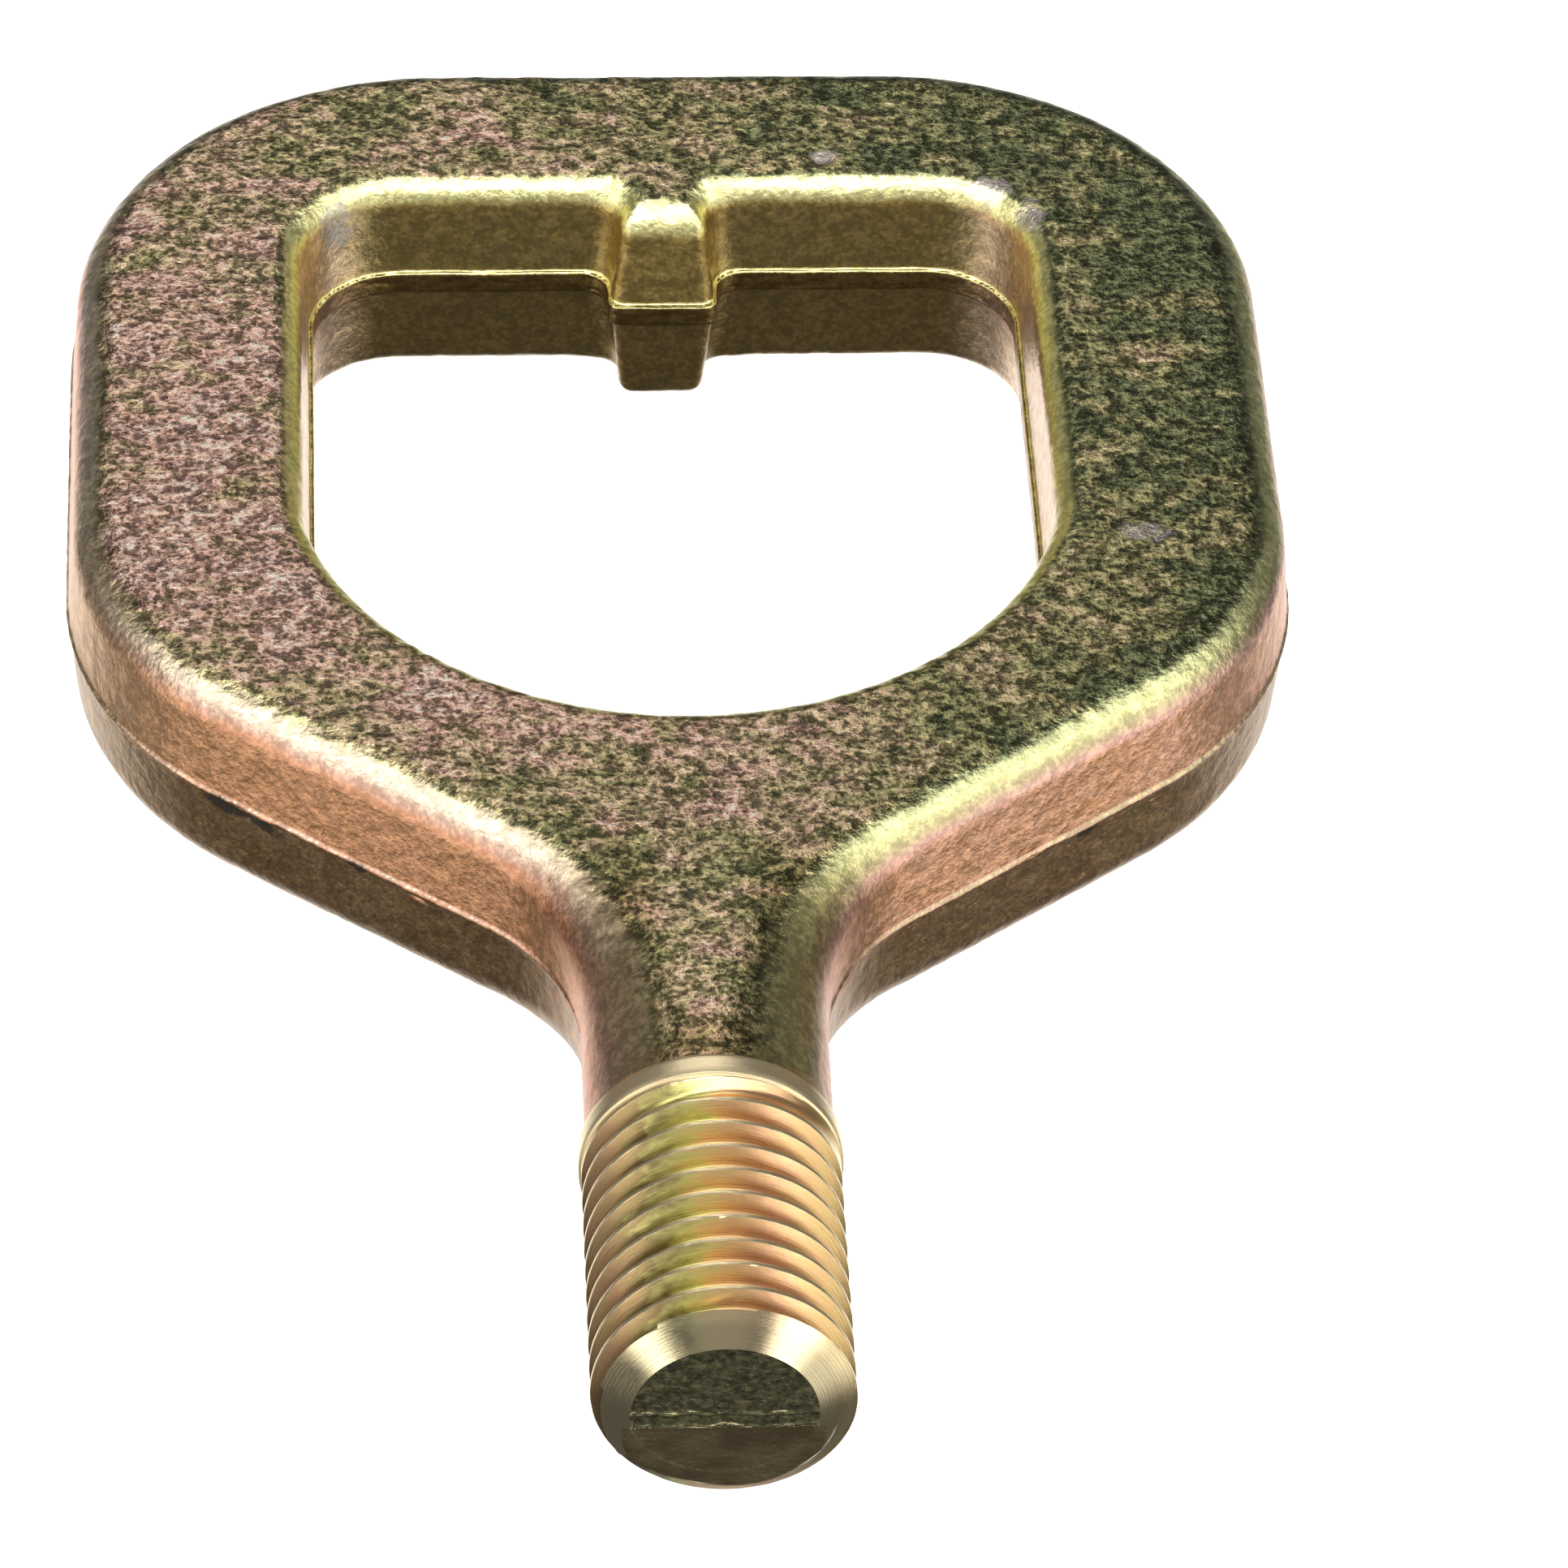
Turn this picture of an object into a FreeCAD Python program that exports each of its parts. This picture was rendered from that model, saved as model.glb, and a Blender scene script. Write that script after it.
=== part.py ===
"""Threaded pad eye: one steel drop forging with a machined M20 x 2.5 stud.

Frame, in millimetres: +Z is square to the flat plate eye, +Y runs from the stud towards the eye,
X runs across the eye.  The origin is on the stud's axis, where its thread starts below the plain
turned land.  The forging is written as the regions a designer would name, which meet face to face.
"""
import FreeCAD, Part
import math
import os
from FreeCAD import Vector

# ---- driving dimensions, mm -------------------------------------------------------------------
HALF_THICK = 9.5          # half of the plate's thickness
DRAFT_DEG = 5.0           # forging draft on every side wall
OUTER_EDGE_R = 3.3        # rounding of the outer edges
UPPER_INNER_EDGE_R = 2.4  # rounding of the aperture's edges, upper and lower die
LOWER_INNER_EDGE_R = 1.5

HALF_WIDTH = 49.6         # eye, at the parting plane
FAR_Y = 127.3             # far side of the crown bar
FAR_CORNER_R = 30.7       # outer corners at the crown
NEAR_CORNER_R = 30.3      # outer corners at the shoulders
FLANK_DEG = 36.7          # slope of the flanks that run down to the neck
FLANK_APEX_Y = 15.0       # where the two flanks would cross the axis
NECK_R = 9.65             # forged neck, round at the stud
CROTCH_R = 17.6           # concave blend between a flank and the neck

OPENING_HALF_W = 29.4     # aperture between the trimmed bands
OPENING_FAR_Y = 108.0
OPENING_CORNER_R = 7.4
OPENING_ARC_R = 30.1      # the bow of the aperture's near side
OPENING_ARC_Y = 74.0      # its centre
OPENING_BLEND_R = 8.0     # blend between a limb and the bow
BAND_HALF = 1.0           # trimmed band on the parting plane: half of its height
BAND_PROUD = 0.35         # how far the band stands out of the drafted walls

TOOTH_HALF_W = 4.6        # locating tooth under the crown bar, at the parting plane
TOOTH_TIP_Y = 103.2
TOOTH_SIDE_TAPER = 1.0    # narrowing of each flank of the tooth from mid plane to face
TOOTH_UPPER_TAPER = 2.2   # lean of the tooth's tip from mid plane to face, upper and lower die
TOOTH_LOWER_TAPER = 1.0
TOOTH_ROOT_R = 2.3        # blend into the crown bar
TOOTH_BACK = 4.0          # how far the tooth's block runs back into the crown bar
TOOTH_TIP_R = 1.1         # corners of the tip
TOOTH_EDGE_R = 1.1        # rounding of its top and bottom edges

LAND_R = 10.05            # plain turned land at the head of the thread
LAND_LEN = 2.2
CREST_R = 9.85            # M20 x 2.5 external thread, crest and root
ROOT_R = 8.45
PITCH = 2.5
CREST_FLAT = PITCH / 8
THREAD_HALF_ANGLE_DEG = 30.0
STUD_LEN = 26.25
TIP_R = 6.95              # flat end inside the chamfer
CHAMFER_LEN = 1.58
RUN_OUT_TURNS = 0.5       # the groove climbs out of the shank over this much of a turn
RUN_OUT_OVER = 0.3        # and ends this far clear of the crest
LEAD_IN_TURNS = 0.8       # the cut starts this far beyond the tip
LAND_GAP_TURNS = 0.7      # and is this far short of the land once it is clear
CUT_OVER = 0.2            # the cutting profile stands out of the crest by this
HEEL_STEP = 0.3           # lower half of the end face: step back, and tilt
HEEL_TILT_DEG = 9.6
HEEL_TOP_Z = -1.3

NECK_END_Y = 32.2         # planes where the regions of the forging meet
LIMB_START_Y = 66.7
LIMB_END_Y = 98.2
CROWN_HALF_X = 21.0
WEB_HALF_X = 20.0
SECTORS = 6               # the thread's crest is divided into arcs of a sixth of a turn
SECTOR_START_DEG = 25.0
QUARTER_STEPS = 12        # points along a quarter of a neck section
NECK_SECTIONS = 12        # spans between the neck's cross sections
BLOCK_DROP = 10.0         # the outline runs this far past the neck plane, to be cut off there
BLOCK_CORNER_R = 6.0

BIG = 400.0
NEAR_OPENING = 4.0        # an edge within this distance of the aperture belongs to it
CUT_PAST = 1.0            # a cutting solid runs this far past the face that it opens
SAME = 1e-4               # lengths closer than this are the same
WALL_LEAN = math.tan(math.radians(DRAFT_DEG))
FLANK_TAN = math.tan(math.radians(FLANK_DEG))
FLANK_COS = math.cos(math.radians(FLANK_DEG))


# ---- outlines ---------------------------------------------------------------------------------
def polygon_with_arcs(corners):
    """Closed list of edges through (x, y, radius) corners; each corner is a tangent arc."""
    count = len(corners)
    starts, ends, mids = [], [], []
    for i in range(count):
        here = Vector(corners[i][0], corners[i][1], 0)
        before = (Vector(corners[i - 1][0], corners[i - 1][1], 0) - here).normalize()
        nxt = corners[(i + 1) % count]
        after = (Vector(nxt[0], nxt[1], 0) - here).normalize()
        half = before.getAngle(after) / 2
        radius = corners[i][2]
        reach = radius / math.tan(half)
        centre = here + (before + after).normalize() * (radius / math.sin(half))
        starts.append(here + before * reach)
        ends.append(here + after * reach)
        mids.append(centre + (here - centre).normalize() * radius)
    edges = []
    for i in range(count):
        edges.append(Part.Arc(starts[i], mids[i], ends[i]).toShape())
        edges.append(Part.LineSegment(ends[i], starts[(i + 1) % count]).toShape())
    return edges


def outer_wire(inset, z):
    """Outline of the eye, drawn in by inset; below the neck plane it ends in a plain block."""
    w = HALF_WIDTH - inset
    far = FAR_Y - inset
    drop = inset / FLANK_COS
    near_y = NECK_END_Y - BLOCK_DROP
    near_x = (near_y - FLANK_APEX_Y - drop) / FLANK_TAN
    shoulder_y = FLANK_APEX_Y + drop + FLANK_TAN * w
    right = [(near_x, near_y, BLOCK_CORNER_R), (w, shoulder_y, NEAR_CORNER_R - inset),
             (w, far, FAR_CORNER_R - inset)]
    left = [(-x, y, r) for x, y, r in reversed(right)]
    wire = Part.Wire(Part.__sortEdges__(polygon_with_arcs(right + left)))
    wire.translate(Vector(0, 0, z))
    return wire


def opening_wire(grow, z):
    """Outline of the aperture, grown by grow: three straight sides and a bow."""
    w = OPENING_HALF_W + grow
    far = OPENING_FAR_Y + grow
    corner = OPENING_CORNER_R + grow
    arc_r = OPENING_ARC_R + grow
    blend = OPENING_BLEND_R + grow
    # centre of the blend arc: inside the limb by its radius and inside the bow
    blend_x = w - blend
    blend_y = OPENING_ARC_Y - math.sqrt((arc_r - blend) ** 2 - blend_x ** 2)
    away = Vector(blend_x, blend_y - OPENING_ARC_Y, 0).normalize()
    meet = Vector(0, OPENING_ARC_Y, 0) + away * arc_r
    bend = (away + Vector(1, 0, 0)).normalize()
    middle = Vector(blend_x, blend_y, 0) + bend * blend
    root = math.sqrt(0.5)

    def flip(point):
        return Vector(-point.x, point.y, 0)

    top_mid = Vector(w - corner * (1 - root), far - corner * (1 - root), 0)
    side_low = Vector(w, blend_y, 0)
    side_high = Vector(w, far - corner, 0)
    top_end = Vector(w - corner, far, 0)
    bow = Vector(0, OPENING_ARC_Y - arc_r, 0)
    edges = [
        Part.Arc(flip(meet), bow, meet).toShape(),
        Part.Arc(meet, middle, side_low).toShape(),
        Part.LineSegment(side_low, side_high).toShape(),
        Part.Arc(side_high, top_mid, top_end).toShape(),
        Part.LineSegment(top_end, flip(top_end)).toShape(),
        Part.Arc(flip(top_end), flip(top_mid), flip(side_high)).toShape(),
        Part.LineSegment(flip(side_high), flip(side_low)).toShape(),
        Part.Arc(flip(side_low), flip(middle), flip(meet)).toShape(),
    ]
    wire = Part.Wire(edges)
    wire.translate(Vector(0, 0, z))
    return wire


def tooth_wire(share, z):
    """Plan of the tooth; share runs from 0 on the parting plane to 1 on a face."""
    half = TOOTH_HALF_W - TOOTH_SIDE_TAPER * share
    tip = TOOTH_TIP_Y + (TOOTH_UPPER_TAPER if z > 0 else TOOTH_LOWER_TAPER) * share
    back = OPENING_FAR_Y + TOOTH_BACK
    root = OPENING_FAR_Y + BAND_PROUD / 2 + WALL_LEAN * HALF_THICK * share
    flare = half + TOOTH_ROOT_R
    bow = math.sqrt(0.5) * TOOTH_ROOT_R
    tip_bow = (1 - math.sqrt(0.5)) * TOOTH_TIP_R
    points = {}
    for side in (-1, 1):
        points[side] = [
            Vector(side * flare, back, z),
            Vector(side * flare, root, z),
            Vector(side * (flare - bow), root - TOOTH_ROOT_R + bow, z),
            Vector(side * half, root - TOOTH_ROOT_R, z),
            Vector(side * half, tip + TOOTH_TIP_R, z),
            Vector(side * (half - tip_bow), tip + tip_bow, z),
            Vector(side * (half - TOOTH_TIP_R), tip, z),
        ]
    left, right = points[-1], points[1]
    edges = [
        Part.LineSegment(left[0], left[1]).toShape(),
        Part.Arc(left[1], left[2], left[3]).toShape(),
        Part.LineSegment(left[3], left[4]).toShape(),
        Part.Arc(left[4], left[5], left[6]).toShape(),
        Part.LineSegment(left[6], right[6]).toShape(),
        Part.Arc(right[6], right[5], right[4]).toShape(),
        Part.LineSegment(right[4], right[3]).toShape(),
        Part.Arc(right[3], right[2], right[1]).toShape(),
        Part.LineSegment(right[1], right[0]).toShape(),
        Part.LineSegment(right[0], left[0]).toShape(),
    ]
    return Part.Wire(edges)


def half_shell(wire_of, mid_value, face_value, z_mid, z_face):
    """Drafted solid between two outlines of the same kind."""
    return Part.makeLoft([wire_of(mid_value, z_mid), wire_of(face_value, z_face)], True, True)


def both_halves(upper):
    """A solid and its mirror image in the parting plane."""
    return upper, upper.mirror(Vector(0, 0, 0), Vector(0, 0, 1))


def fillet_faces(shape, radius, z_faces, wanted):
    """Round the wanted edges that lie in the flat faces at these heights."""
    edges = []
    for z_face in z_faces:
        edges += edges_at(shape, z_face, wanted)
    return shape.makeFillet(radius, edges)


# ---- the flat eye -----------------------------------------------------------------------------
def edges_at(shape, z_face, wanted):
    """Edges that lie in the face at z_face and for which wanted(middle point) holds."""
    found = []
    for edge in shape.Edges:
        box = edge.BoundBox
        if box.ZLength < SAME and abs(box.ZMin - z_face) < SAME:
            middle = edge.valueAt((edge.FirstParameter + edge.LastParameter) / 2)
            if wanted(middle):
                found.append(edge)
    return found


def on_opening(point):
    """True for a point that lies near the aperture and not near the outer outline."""
    near_y = OPENING_ARC_Y - OPENING_ARC_R
    inside_x = abs(point.x) < OPENING_HALF_W + NEAR_OPENING
    return inside_x and near_y - NEAR_OPENING < point.y < OPENING_FAR_Y + NEAR_OPENING


def eye_plate():
    """The flat ring: drafted outside, trimmed and drafted aperture, rounded edges."""
    lean = WALL_LEAN * HALF_THICK
    upper, lower = both_halves(half_shell(outer_wire, 0.0, lean, 0.0, HALF_THICK))
    plate = upper.fuse(lower)
    faces = (HALF_THICK, -HALF_THICK)
    plate = fillet_faces(plate, OUTER_EDGE_R, faces, lambda p: p.y > NECK_END_Y - BLOCK_DROP + 1)

    face_grow = BAND_PROUD + WALL_LEAN * (HALF_THICK - BAND_HALF)
    high = half_shell(opening_wire, BAND_PROUD, face_grow + WALL_LEAN * CUT_PAST,
                      BAND_HALF, HALF_THICK + CUT_PAST)
    band = Part.Face(opening_wire(0.0, -BAND_HALF)).extrude(Vector(0, 0, 2 * BAND_HALF))
    for tool in both_halves(high) + (band,):
        plate = plate.cut(tool)
    plate = fillet_faces(plate, UPPER_INNER_EDGE_R, (HALF_THICK,), on_opening)
    return fillet_faces(plate, LOWER_INNER_EDGE_R, (-HALF_THICK,), on_opening)


def tooth_block():
    """The locating tooth, run back into the crown bar."""
    upper = half_shell(tooth_wire, 0.0, 1.0, 0.0, HALF_THICK)
    lower = half_shell(tooth_wire, 0.0, 1.0, 0.0, -HALF_THICK)
    faces = (HALF_THICK, -HALF_THICK)
    ends_y = OPENING_FAR_Y - TOOTH_ROOT_R / 2
    return fillet_faces(upper.fuse(lower), TOOTH_EDGE_R, faces, lambda p: p.y < ends_y)


# ---- the forged neck --------------------------------------------------------------------------
def outline_half_width(y):
    """Half width of the eye's outline at the parting plane, between the stud and the flanks."""
    turn = math.radians(90 - FLANK_DEG)
    corner_y = FLANK_APEX_Y + FLANK_TAN * NECK_R
    reach = CROTCH_R * math.tan(turn / 2)
    arc_start = corner_y - reach
    arc_end = corner_y + reach * math.sin(math.radians(FLANK_DEG))
    if y <= arc_start:
        return NECK_R
    if y >= arc_end:
        return (y - FLANK_APEX_Y) / FLANK_TAN
    return NECK_R + CROTCH_R - math.sqrt(CROTCH_R ** 2 - (y - arc_start) ** 2)


def neck_section(y):
    """Closed curve across the neck: round at the stud, the plate's own section at the flanks."""
    share = (y - LAND_LEN) / (NECK_END_Y - LAND_LEN)
    ease = share * share * (3 - 2 * share)
    width = outline_half_width(y)
    slope = (outline_half_width(y + 0.05) - outline_half_width(y - 0.05)) / 0.1
    stretch = math.sqrt(1 + slope * slope)
    height = NECK_R + (HALF_THICK - NECK_R) * ease
    lean = WALL_LEAN * ease
    round_z = NECK_R + (OUTER_EDGE_R - NECK_R) * ease
    round_x = round_z * stretch
    wall_top = max(height - round_z, 0.0)
    inset = lean * height * stretch
    round_x = min(round_x, width - inset)
    start_x = width - lean * wall_top * stretch
    end_x = width - inset - round_x
    dense = [Vector(width, y, 0), Vector(start_x, y, wall_top)]
    arc_steps = 24
    for i in range(1, arc_steps + 1):
        angle = math.pi / 2 * i / arc_steps
        dense.append(Vector(end_x + (start_x - end_x) * math.cos(angle), y,
                            wall_top + (height - wall_top) * math.sin(angle)))
    dense.append(Vector(0, y, height))
    return evenly(dense, QUARTER_STEPS)


def evenly(points, steps):
    """Points at equal distances along a polyline, both ends included."""
    lengths = [0.0]
    for before, after in zip(points, points[1:]):
        lengths.append(lengths[-1] + before.distanceToPoint(after))
    picked = []
    j = 0
    for i in range(steps + 1):
        target = lengths[-1] * i / steps
        while j < len(points) - 2 and lengths[j + 1] < target:
            j += 1
        span = lengths[j + 1] - lengths[j]
        share = (target - lengths[j]) / span if span > 0 else 0.0
        picked.append(points[j] + (points[j + 1] - points[j]) * min(share, 1.0))
    return picked


def section_wire(quarter):
    """Mirror a quarter section round and run one closed smooth curve through it."""
    loop = list(quarter)
    loop += [Vector(-p.x, p.y, p.z) for p in reversed(quarter[:-1])]
    loop += [Vector(-p.x, p.y, -p.z) for p in quarter[1:]]
    loop += [Vector(p.x, p.y, -p.z) for p in reversed(quarter[1:-1])]
    curve = Part.BSplineCurve()
    curve.interpolate(Points=loop, PeriodicFlag=True)
    return Part.Wire(curve.toShape())


def neck_solid():
    """The neck, lofted through cross sections from the stud to the flanks."""
    step = (NECK_END_Y - LAND_LEN) / NECK_SECTIONS
    wires = [section_wire(neck_section(LAND_LEN + step * i)) for i in range(NECK_SECTIONS + 1)]
    return Part.makeLoft(wires, True, False)


# ---- the machined stud ------------------------------------------------------------------------
def revolved(profile, start_deg=0.0, turn_deg=360.0):
    """Solid of revolution about Y of (radius, y) points."""
    points = [Vector(r, y, 0) for r, y in profile]
    face = Part.Face(Part.makePolygon(points + points[:1]))
    axis = Vector(0, 1, 0)
    face.rotate(Vector(0, 0, 0), axis, start_deg)
    return face.revolve(Vector(0, 0, 0), axis, turn_deg)


def in_sectors(solid):
    """The same solid with its faces divided at equal half planes through the axis."""
    step = 360.0 / SECTORS
    reach = 2 * LAND_R
    wedge = [(0, reach), (reach, reach), (reach, -STUD_LEN - reach), (0, -STUD_LEN - reach)]
    pieces = [solid.common(revolved(wedge, SECTOR_START_DEG + step * i, step))
              for i in range(SECTORS)]
    return pieces[0].multiFuse(pieces[1:])


def groove_profile(centre, along):
    """The thread's groove in section: a 60 degree V with a flat root; along is the shank's way."""
    flank_tan = math.tan(math.radians(THREAD_HALF_ANGLE_DEG))
    half_open = (PITCH - CREST_FLAT) / 2
    half_root = half_open - (CREST_R - ROOT_R) * flank_tan
    wide = half_open + CUT_OVER * flank_tan
    depth = CREST_R - ROOT_R
    corners = [centre - along * wide + Vector(CUT_OVER, 0, 0),
               centre - along * half_root - Vector(depth, 0, 0),
               centre + along * half_root - Vector(depth, 0, 0),
               centre + along * wide + Vector(CUT_OVER, 0, 0)]
    return Part.makePolygon(corners + corners[:1])


def groove_solid():
    """Right hand helical groove that enters at the tip and climbs out of the shank at the land."""
    lead_in = LEAD_IN_TURNS * PITCH
    full = STUD_LEN - (RUN_OUT_TURNS + LAND_GAP_TURNS) * PITCH + lead_in
    along = Vector(0, 0, 1)
    straight = Part.makeHelix(PITCH, full, CREST_R)
    body = Part.Wire(straight.Edges).makePipeShell([groove_profile(Vector(CREST_R, 0, 0), along)],
                                                   True, True)
    climb_len = RUN_OUT_TURNS * PITCH
    climb = CREST_R - ROOT_R + RUN_OUT_OVER
    cone_deg = math.degrees(math.atan(climb / climb_len))
    lift = Part.makeHelix(PITCH, climb_len, CREST_R, cone_deg)
    tail = Part.Wire(lift.Edges).makePipeShell([groove_profile(Vector(CREST_R, 0, 0), along)],
                                               True, True)
    tail.rotate(Vector(0, 0, 0), along, 360.0 * full / PITCH)
    tail.translate(along * full)
    for part in (body, tail):
        part.rotate(Vector(0, 0, 0), Vector(1, 0, 0), -90)
        part.translate(Vector(0, -STUD_LEN - lead_in, 0))
    return body, tail


def heel_cutter():
    """Block that trims the lower half of the end face back and tilts it."""
    block = Part.makeBox(60, 20, 40, Vector(-30, -20, -40))
    block.rotate(Vector(0, 0, 0), Vector(1, 0, 0), HEEL_TILT_DEG)
    block.translate(Vector(0, HEEL_STEP - STUD_LEN, HEEL_TOP_Z))
    keep_below = Part.makeBox(60, 60, 40, Vector(-30, -STUD_LEN - 30, HEEL_TOP_Z - 40))
    return block.common(keep_below)


def threaded_shank():
    """Chamfered M20 stud with a cut thread."""
    chamfer_y = CHAMFER_LEN - STUD_LEN
    blank = revolved([(0, 0), (CREST_R, 0), (CREST_R, chamfer_y), (TIP_R, -STUD_LEN),
                      (0, -STUD_LEN)])
    for tool in groove_solid():
        blank = blank.cut(tool)
    return in_sectors(blank.cut(heel_cutter()))


# ---- regions of the forging -------------------------------------------------------------------
def slab(x_low, x_high, y_low, y_high):
    """Block through the whole thickness."""
    return Part.makeBox(x_high - x_low, y_high - y_low, BIG, Vector(x_low, y_low, -BIG / 2))


def regions():
    """Every named region of the forging and stud, by name."""
    plate = eye_plate()
    crown = plate.common(slab(-CROWN_HALF_X, CROWN_HALF_X, LIMB_END_Y, BIG))
    parts = {
        "crown_bar": crown,
        "left_crown_corner": plate.common(slab(-BIG, -CROWN_HALF_X, LIMB_END_Y, BIG)),
        "right_crown_corner": plate.common(slab(CROWN_HALF_X, BIG, LIMB_END_Y, BIG)),
        "left_limb": plate.common(slab(-BIG, 0, LIMB_START_Y, LIMB_END_Y)),
        "right_limb": plate.common(slab(0, BIG, LIMB_START_Y, LIMB_END_Y)),
        "left_shoulder": plate.common(slab(-BIG, -WEB_HALF_X, NECK_END_Y, LIMB_START_Y)),
        "right_shoulder": plate.common(slab(WEB_HALF_X, BIG, NECK_END_Y, LIMB_START_Y)),
        "crotch_web": plate.common(slab(-WEB_HALF_X, WEB_HALF_X, NECK_END_Y, LIMB_START_Y)),
        "centre_tooth": tooth_block().cut(crown),
        "neck": neck_solid(),
        "turned_land": revolved([(0, LAND_LEN), (LAND_R, LAND_LEN), (LAND_R, 0), (0, 0)]),
        "threaded_shank": threaded_shank(),
    }
    return parts


def main():
    os.makedirs("parts", exist_ok=True)
    for name, shape in regions().items():
        solids = shape.Solids
        print(f"{name:20s} solids {len(solids)} valid {shape.isValid()} volume {shape.Volume:.1f}")
        body = solids[0] if len(solids) == 1 else Part.makeCompound(solids)
        body.exportStep(f"parts/{name}.step")


main()
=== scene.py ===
"""Looks of the threaded pad eye: a yellow passivated drop forging with a machined stud.

Lengths in the geometry functions are millimetres in the part's own frame (+Y from the stud towards
the eye, +Z square to the flat eye); to_mesh() turns them into Blender's metres.
"""
import bpy
import math
import numpy as np
from mathutils import Matrix, Vector


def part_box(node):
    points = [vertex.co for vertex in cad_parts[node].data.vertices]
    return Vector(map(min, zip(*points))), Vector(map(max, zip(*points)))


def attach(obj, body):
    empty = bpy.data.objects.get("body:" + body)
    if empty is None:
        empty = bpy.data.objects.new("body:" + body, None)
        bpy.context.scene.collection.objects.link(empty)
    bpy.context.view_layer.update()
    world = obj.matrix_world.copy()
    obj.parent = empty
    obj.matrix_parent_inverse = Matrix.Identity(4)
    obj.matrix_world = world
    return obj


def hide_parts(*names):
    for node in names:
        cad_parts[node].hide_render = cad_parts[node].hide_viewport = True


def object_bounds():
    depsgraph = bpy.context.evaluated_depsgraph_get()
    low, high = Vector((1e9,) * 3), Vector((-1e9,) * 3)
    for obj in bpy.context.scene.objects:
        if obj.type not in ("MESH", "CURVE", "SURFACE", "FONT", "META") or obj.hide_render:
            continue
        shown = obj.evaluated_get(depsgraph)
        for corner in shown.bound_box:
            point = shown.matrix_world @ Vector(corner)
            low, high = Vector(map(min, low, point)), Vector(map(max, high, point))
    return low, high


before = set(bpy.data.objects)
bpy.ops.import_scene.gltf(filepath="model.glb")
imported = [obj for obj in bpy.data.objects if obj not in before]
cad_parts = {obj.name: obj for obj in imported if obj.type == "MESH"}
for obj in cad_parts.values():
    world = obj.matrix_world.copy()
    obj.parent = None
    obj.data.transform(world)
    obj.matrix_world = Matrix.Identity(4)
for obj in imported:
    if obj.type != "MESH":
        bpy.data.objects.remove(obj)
cad_low, cad_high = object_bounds()

MM = 0.001
TAU = 2 * math.pi


def node_box(name):
    """Lowest and highest corner of a CAD node, in millimetres."""
    low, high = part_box(name)
    return np.array(low) / MM, np.array(high) / MM


# ---- sizes taken from the frame ------------------------------
FAR_Y, HALF_THICK = node_box("crown_bar")[1][1:]
HALF_WIDTH = -node_box("left_limb")[0][0]
LAND_R, LAND_LEN = node_box("turned_land")[1][:2]
TIP_Y = node_box("threaded_shank")[0][1]

# ---- the forging's other dimensions, mm ----------------------
DRAFT_TAN = math.tan(math.radians(5.0))
OUTER_EDGE_R = 3.3
UPPER_INNER_EDGE_R = 2.4
LOWER_INNER_EDGE_R = 1.5
FAR_CORNER_R = 30.7
NEAR_CORNER_R = 30.3
FLANK_DEG = 36.7           # slope of the flanks that run down to the neck
FLANK_COS = math.cos(math.radians(FLANK_DEG))
FLANK_SIN = math.sin(math.radians(FLANK_DEG))
FLANK_APEX_Y = 15.0        # where the two flanks would cross the axis
NECK_R = 9.65
NECK_RUN_ON = 2 * NECK_R   # the neck's outline runs this far past the origin, to be cut off in the land
NECK_END_R = 0.5
CROTCH_R = 17.6            # concave blend between a flank and the neck
NECK_END_Y = 32.2          # here the round neck has become the flat web

OPENING_HALF_W = 29.4      # aperture between the trimmed bands
OPENING_FAR_Y = 108.0
OPENING_CORNER_R = 7.4
OPENING_ARC_R = 30.1       # the bow of the aperture's near side
OPENING_ARC_Y = 74.0       # its centre
OPENING_BLEND_R = 8.0      # blend between a limb and the bow
BAND_HALF = 1.0            # trimmed band on the parting plane: half of its height
BAND_PROUD = 0.35          # how far it stands out of the drafted walls
BAND_SOFT = 0.06           # rounding of its two steps

TOOTH_HALF_W = 4.6         # locating tooth under the crown bar, at the parting plane
TOOTH_TIP_Y = 103.2
TOOTH_SIDE_TAPER = 1.0     # from mid plane to face
TOOTH_UPPER_TAPER = 2.2
TOOTH_LOWER_TAPER = 1.0
TOOTH_ROOT_R = 2.3         # blend into the crown bar
TOOTH_TIP_R = 1.1
TOOTH_UPPER_EDGE_R = 2.7
TOOTH_LOWER_EDGE_R = 1.1
TOOTH_BAND_SIDE = 0.4      # share of the band's step that carries on round the tooth's flanks
TOOTH_BAND_TIP = 0.6       # and round its tip
TOOTH_RIM_X = (1, 4)       # its edge rounding fades to the aperture's between these distances sideways
TOOTH_RIM_Y = (2, 8)       # and towards the stud

FLASH_HALF = 0.32          # trimmed flash line round the outside, at the parting plane
FLASH_PROUD = 0.16

# ---- the stud's other dimensions, mm -------------------------
CREST_R = 9.85
ROOT_R = 8.45
PITCH = 2.5
CREST_FLAT = PITCH / 8
TIP_R = 6.95
CHAMFER_LEN = 1.58
HEEL_STEP = 0.3
HEEL_TAN = math.tan(math.radians(9.6))
HEEL_TOP_Z = -1.3
LEDGE_Z = 0.2               # a ragged line above the heel, left where the bar was sheared


# ---- seeded noise --------------------------------------------
def lattice(cells, seed):
    """A repeatable random value from -1 to 1 for each whole-number cell."""
    prime = np.array([73856093, 19349663, 83492791], np.int64)
    h = (cells.astype(np.int64) * prime).sum(-1) + seed * 2654435761
    h = (h ^ (h >> 13)) * 1274126177 & 0x7FFFFFFF
    h = (h ^ (h >> 16)) * 2246822519 & 0x7FFFFFFF
    h = h ^ (h >> 15)
    return (h & 0xFFFF) / 32767.5 - 1


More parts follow.
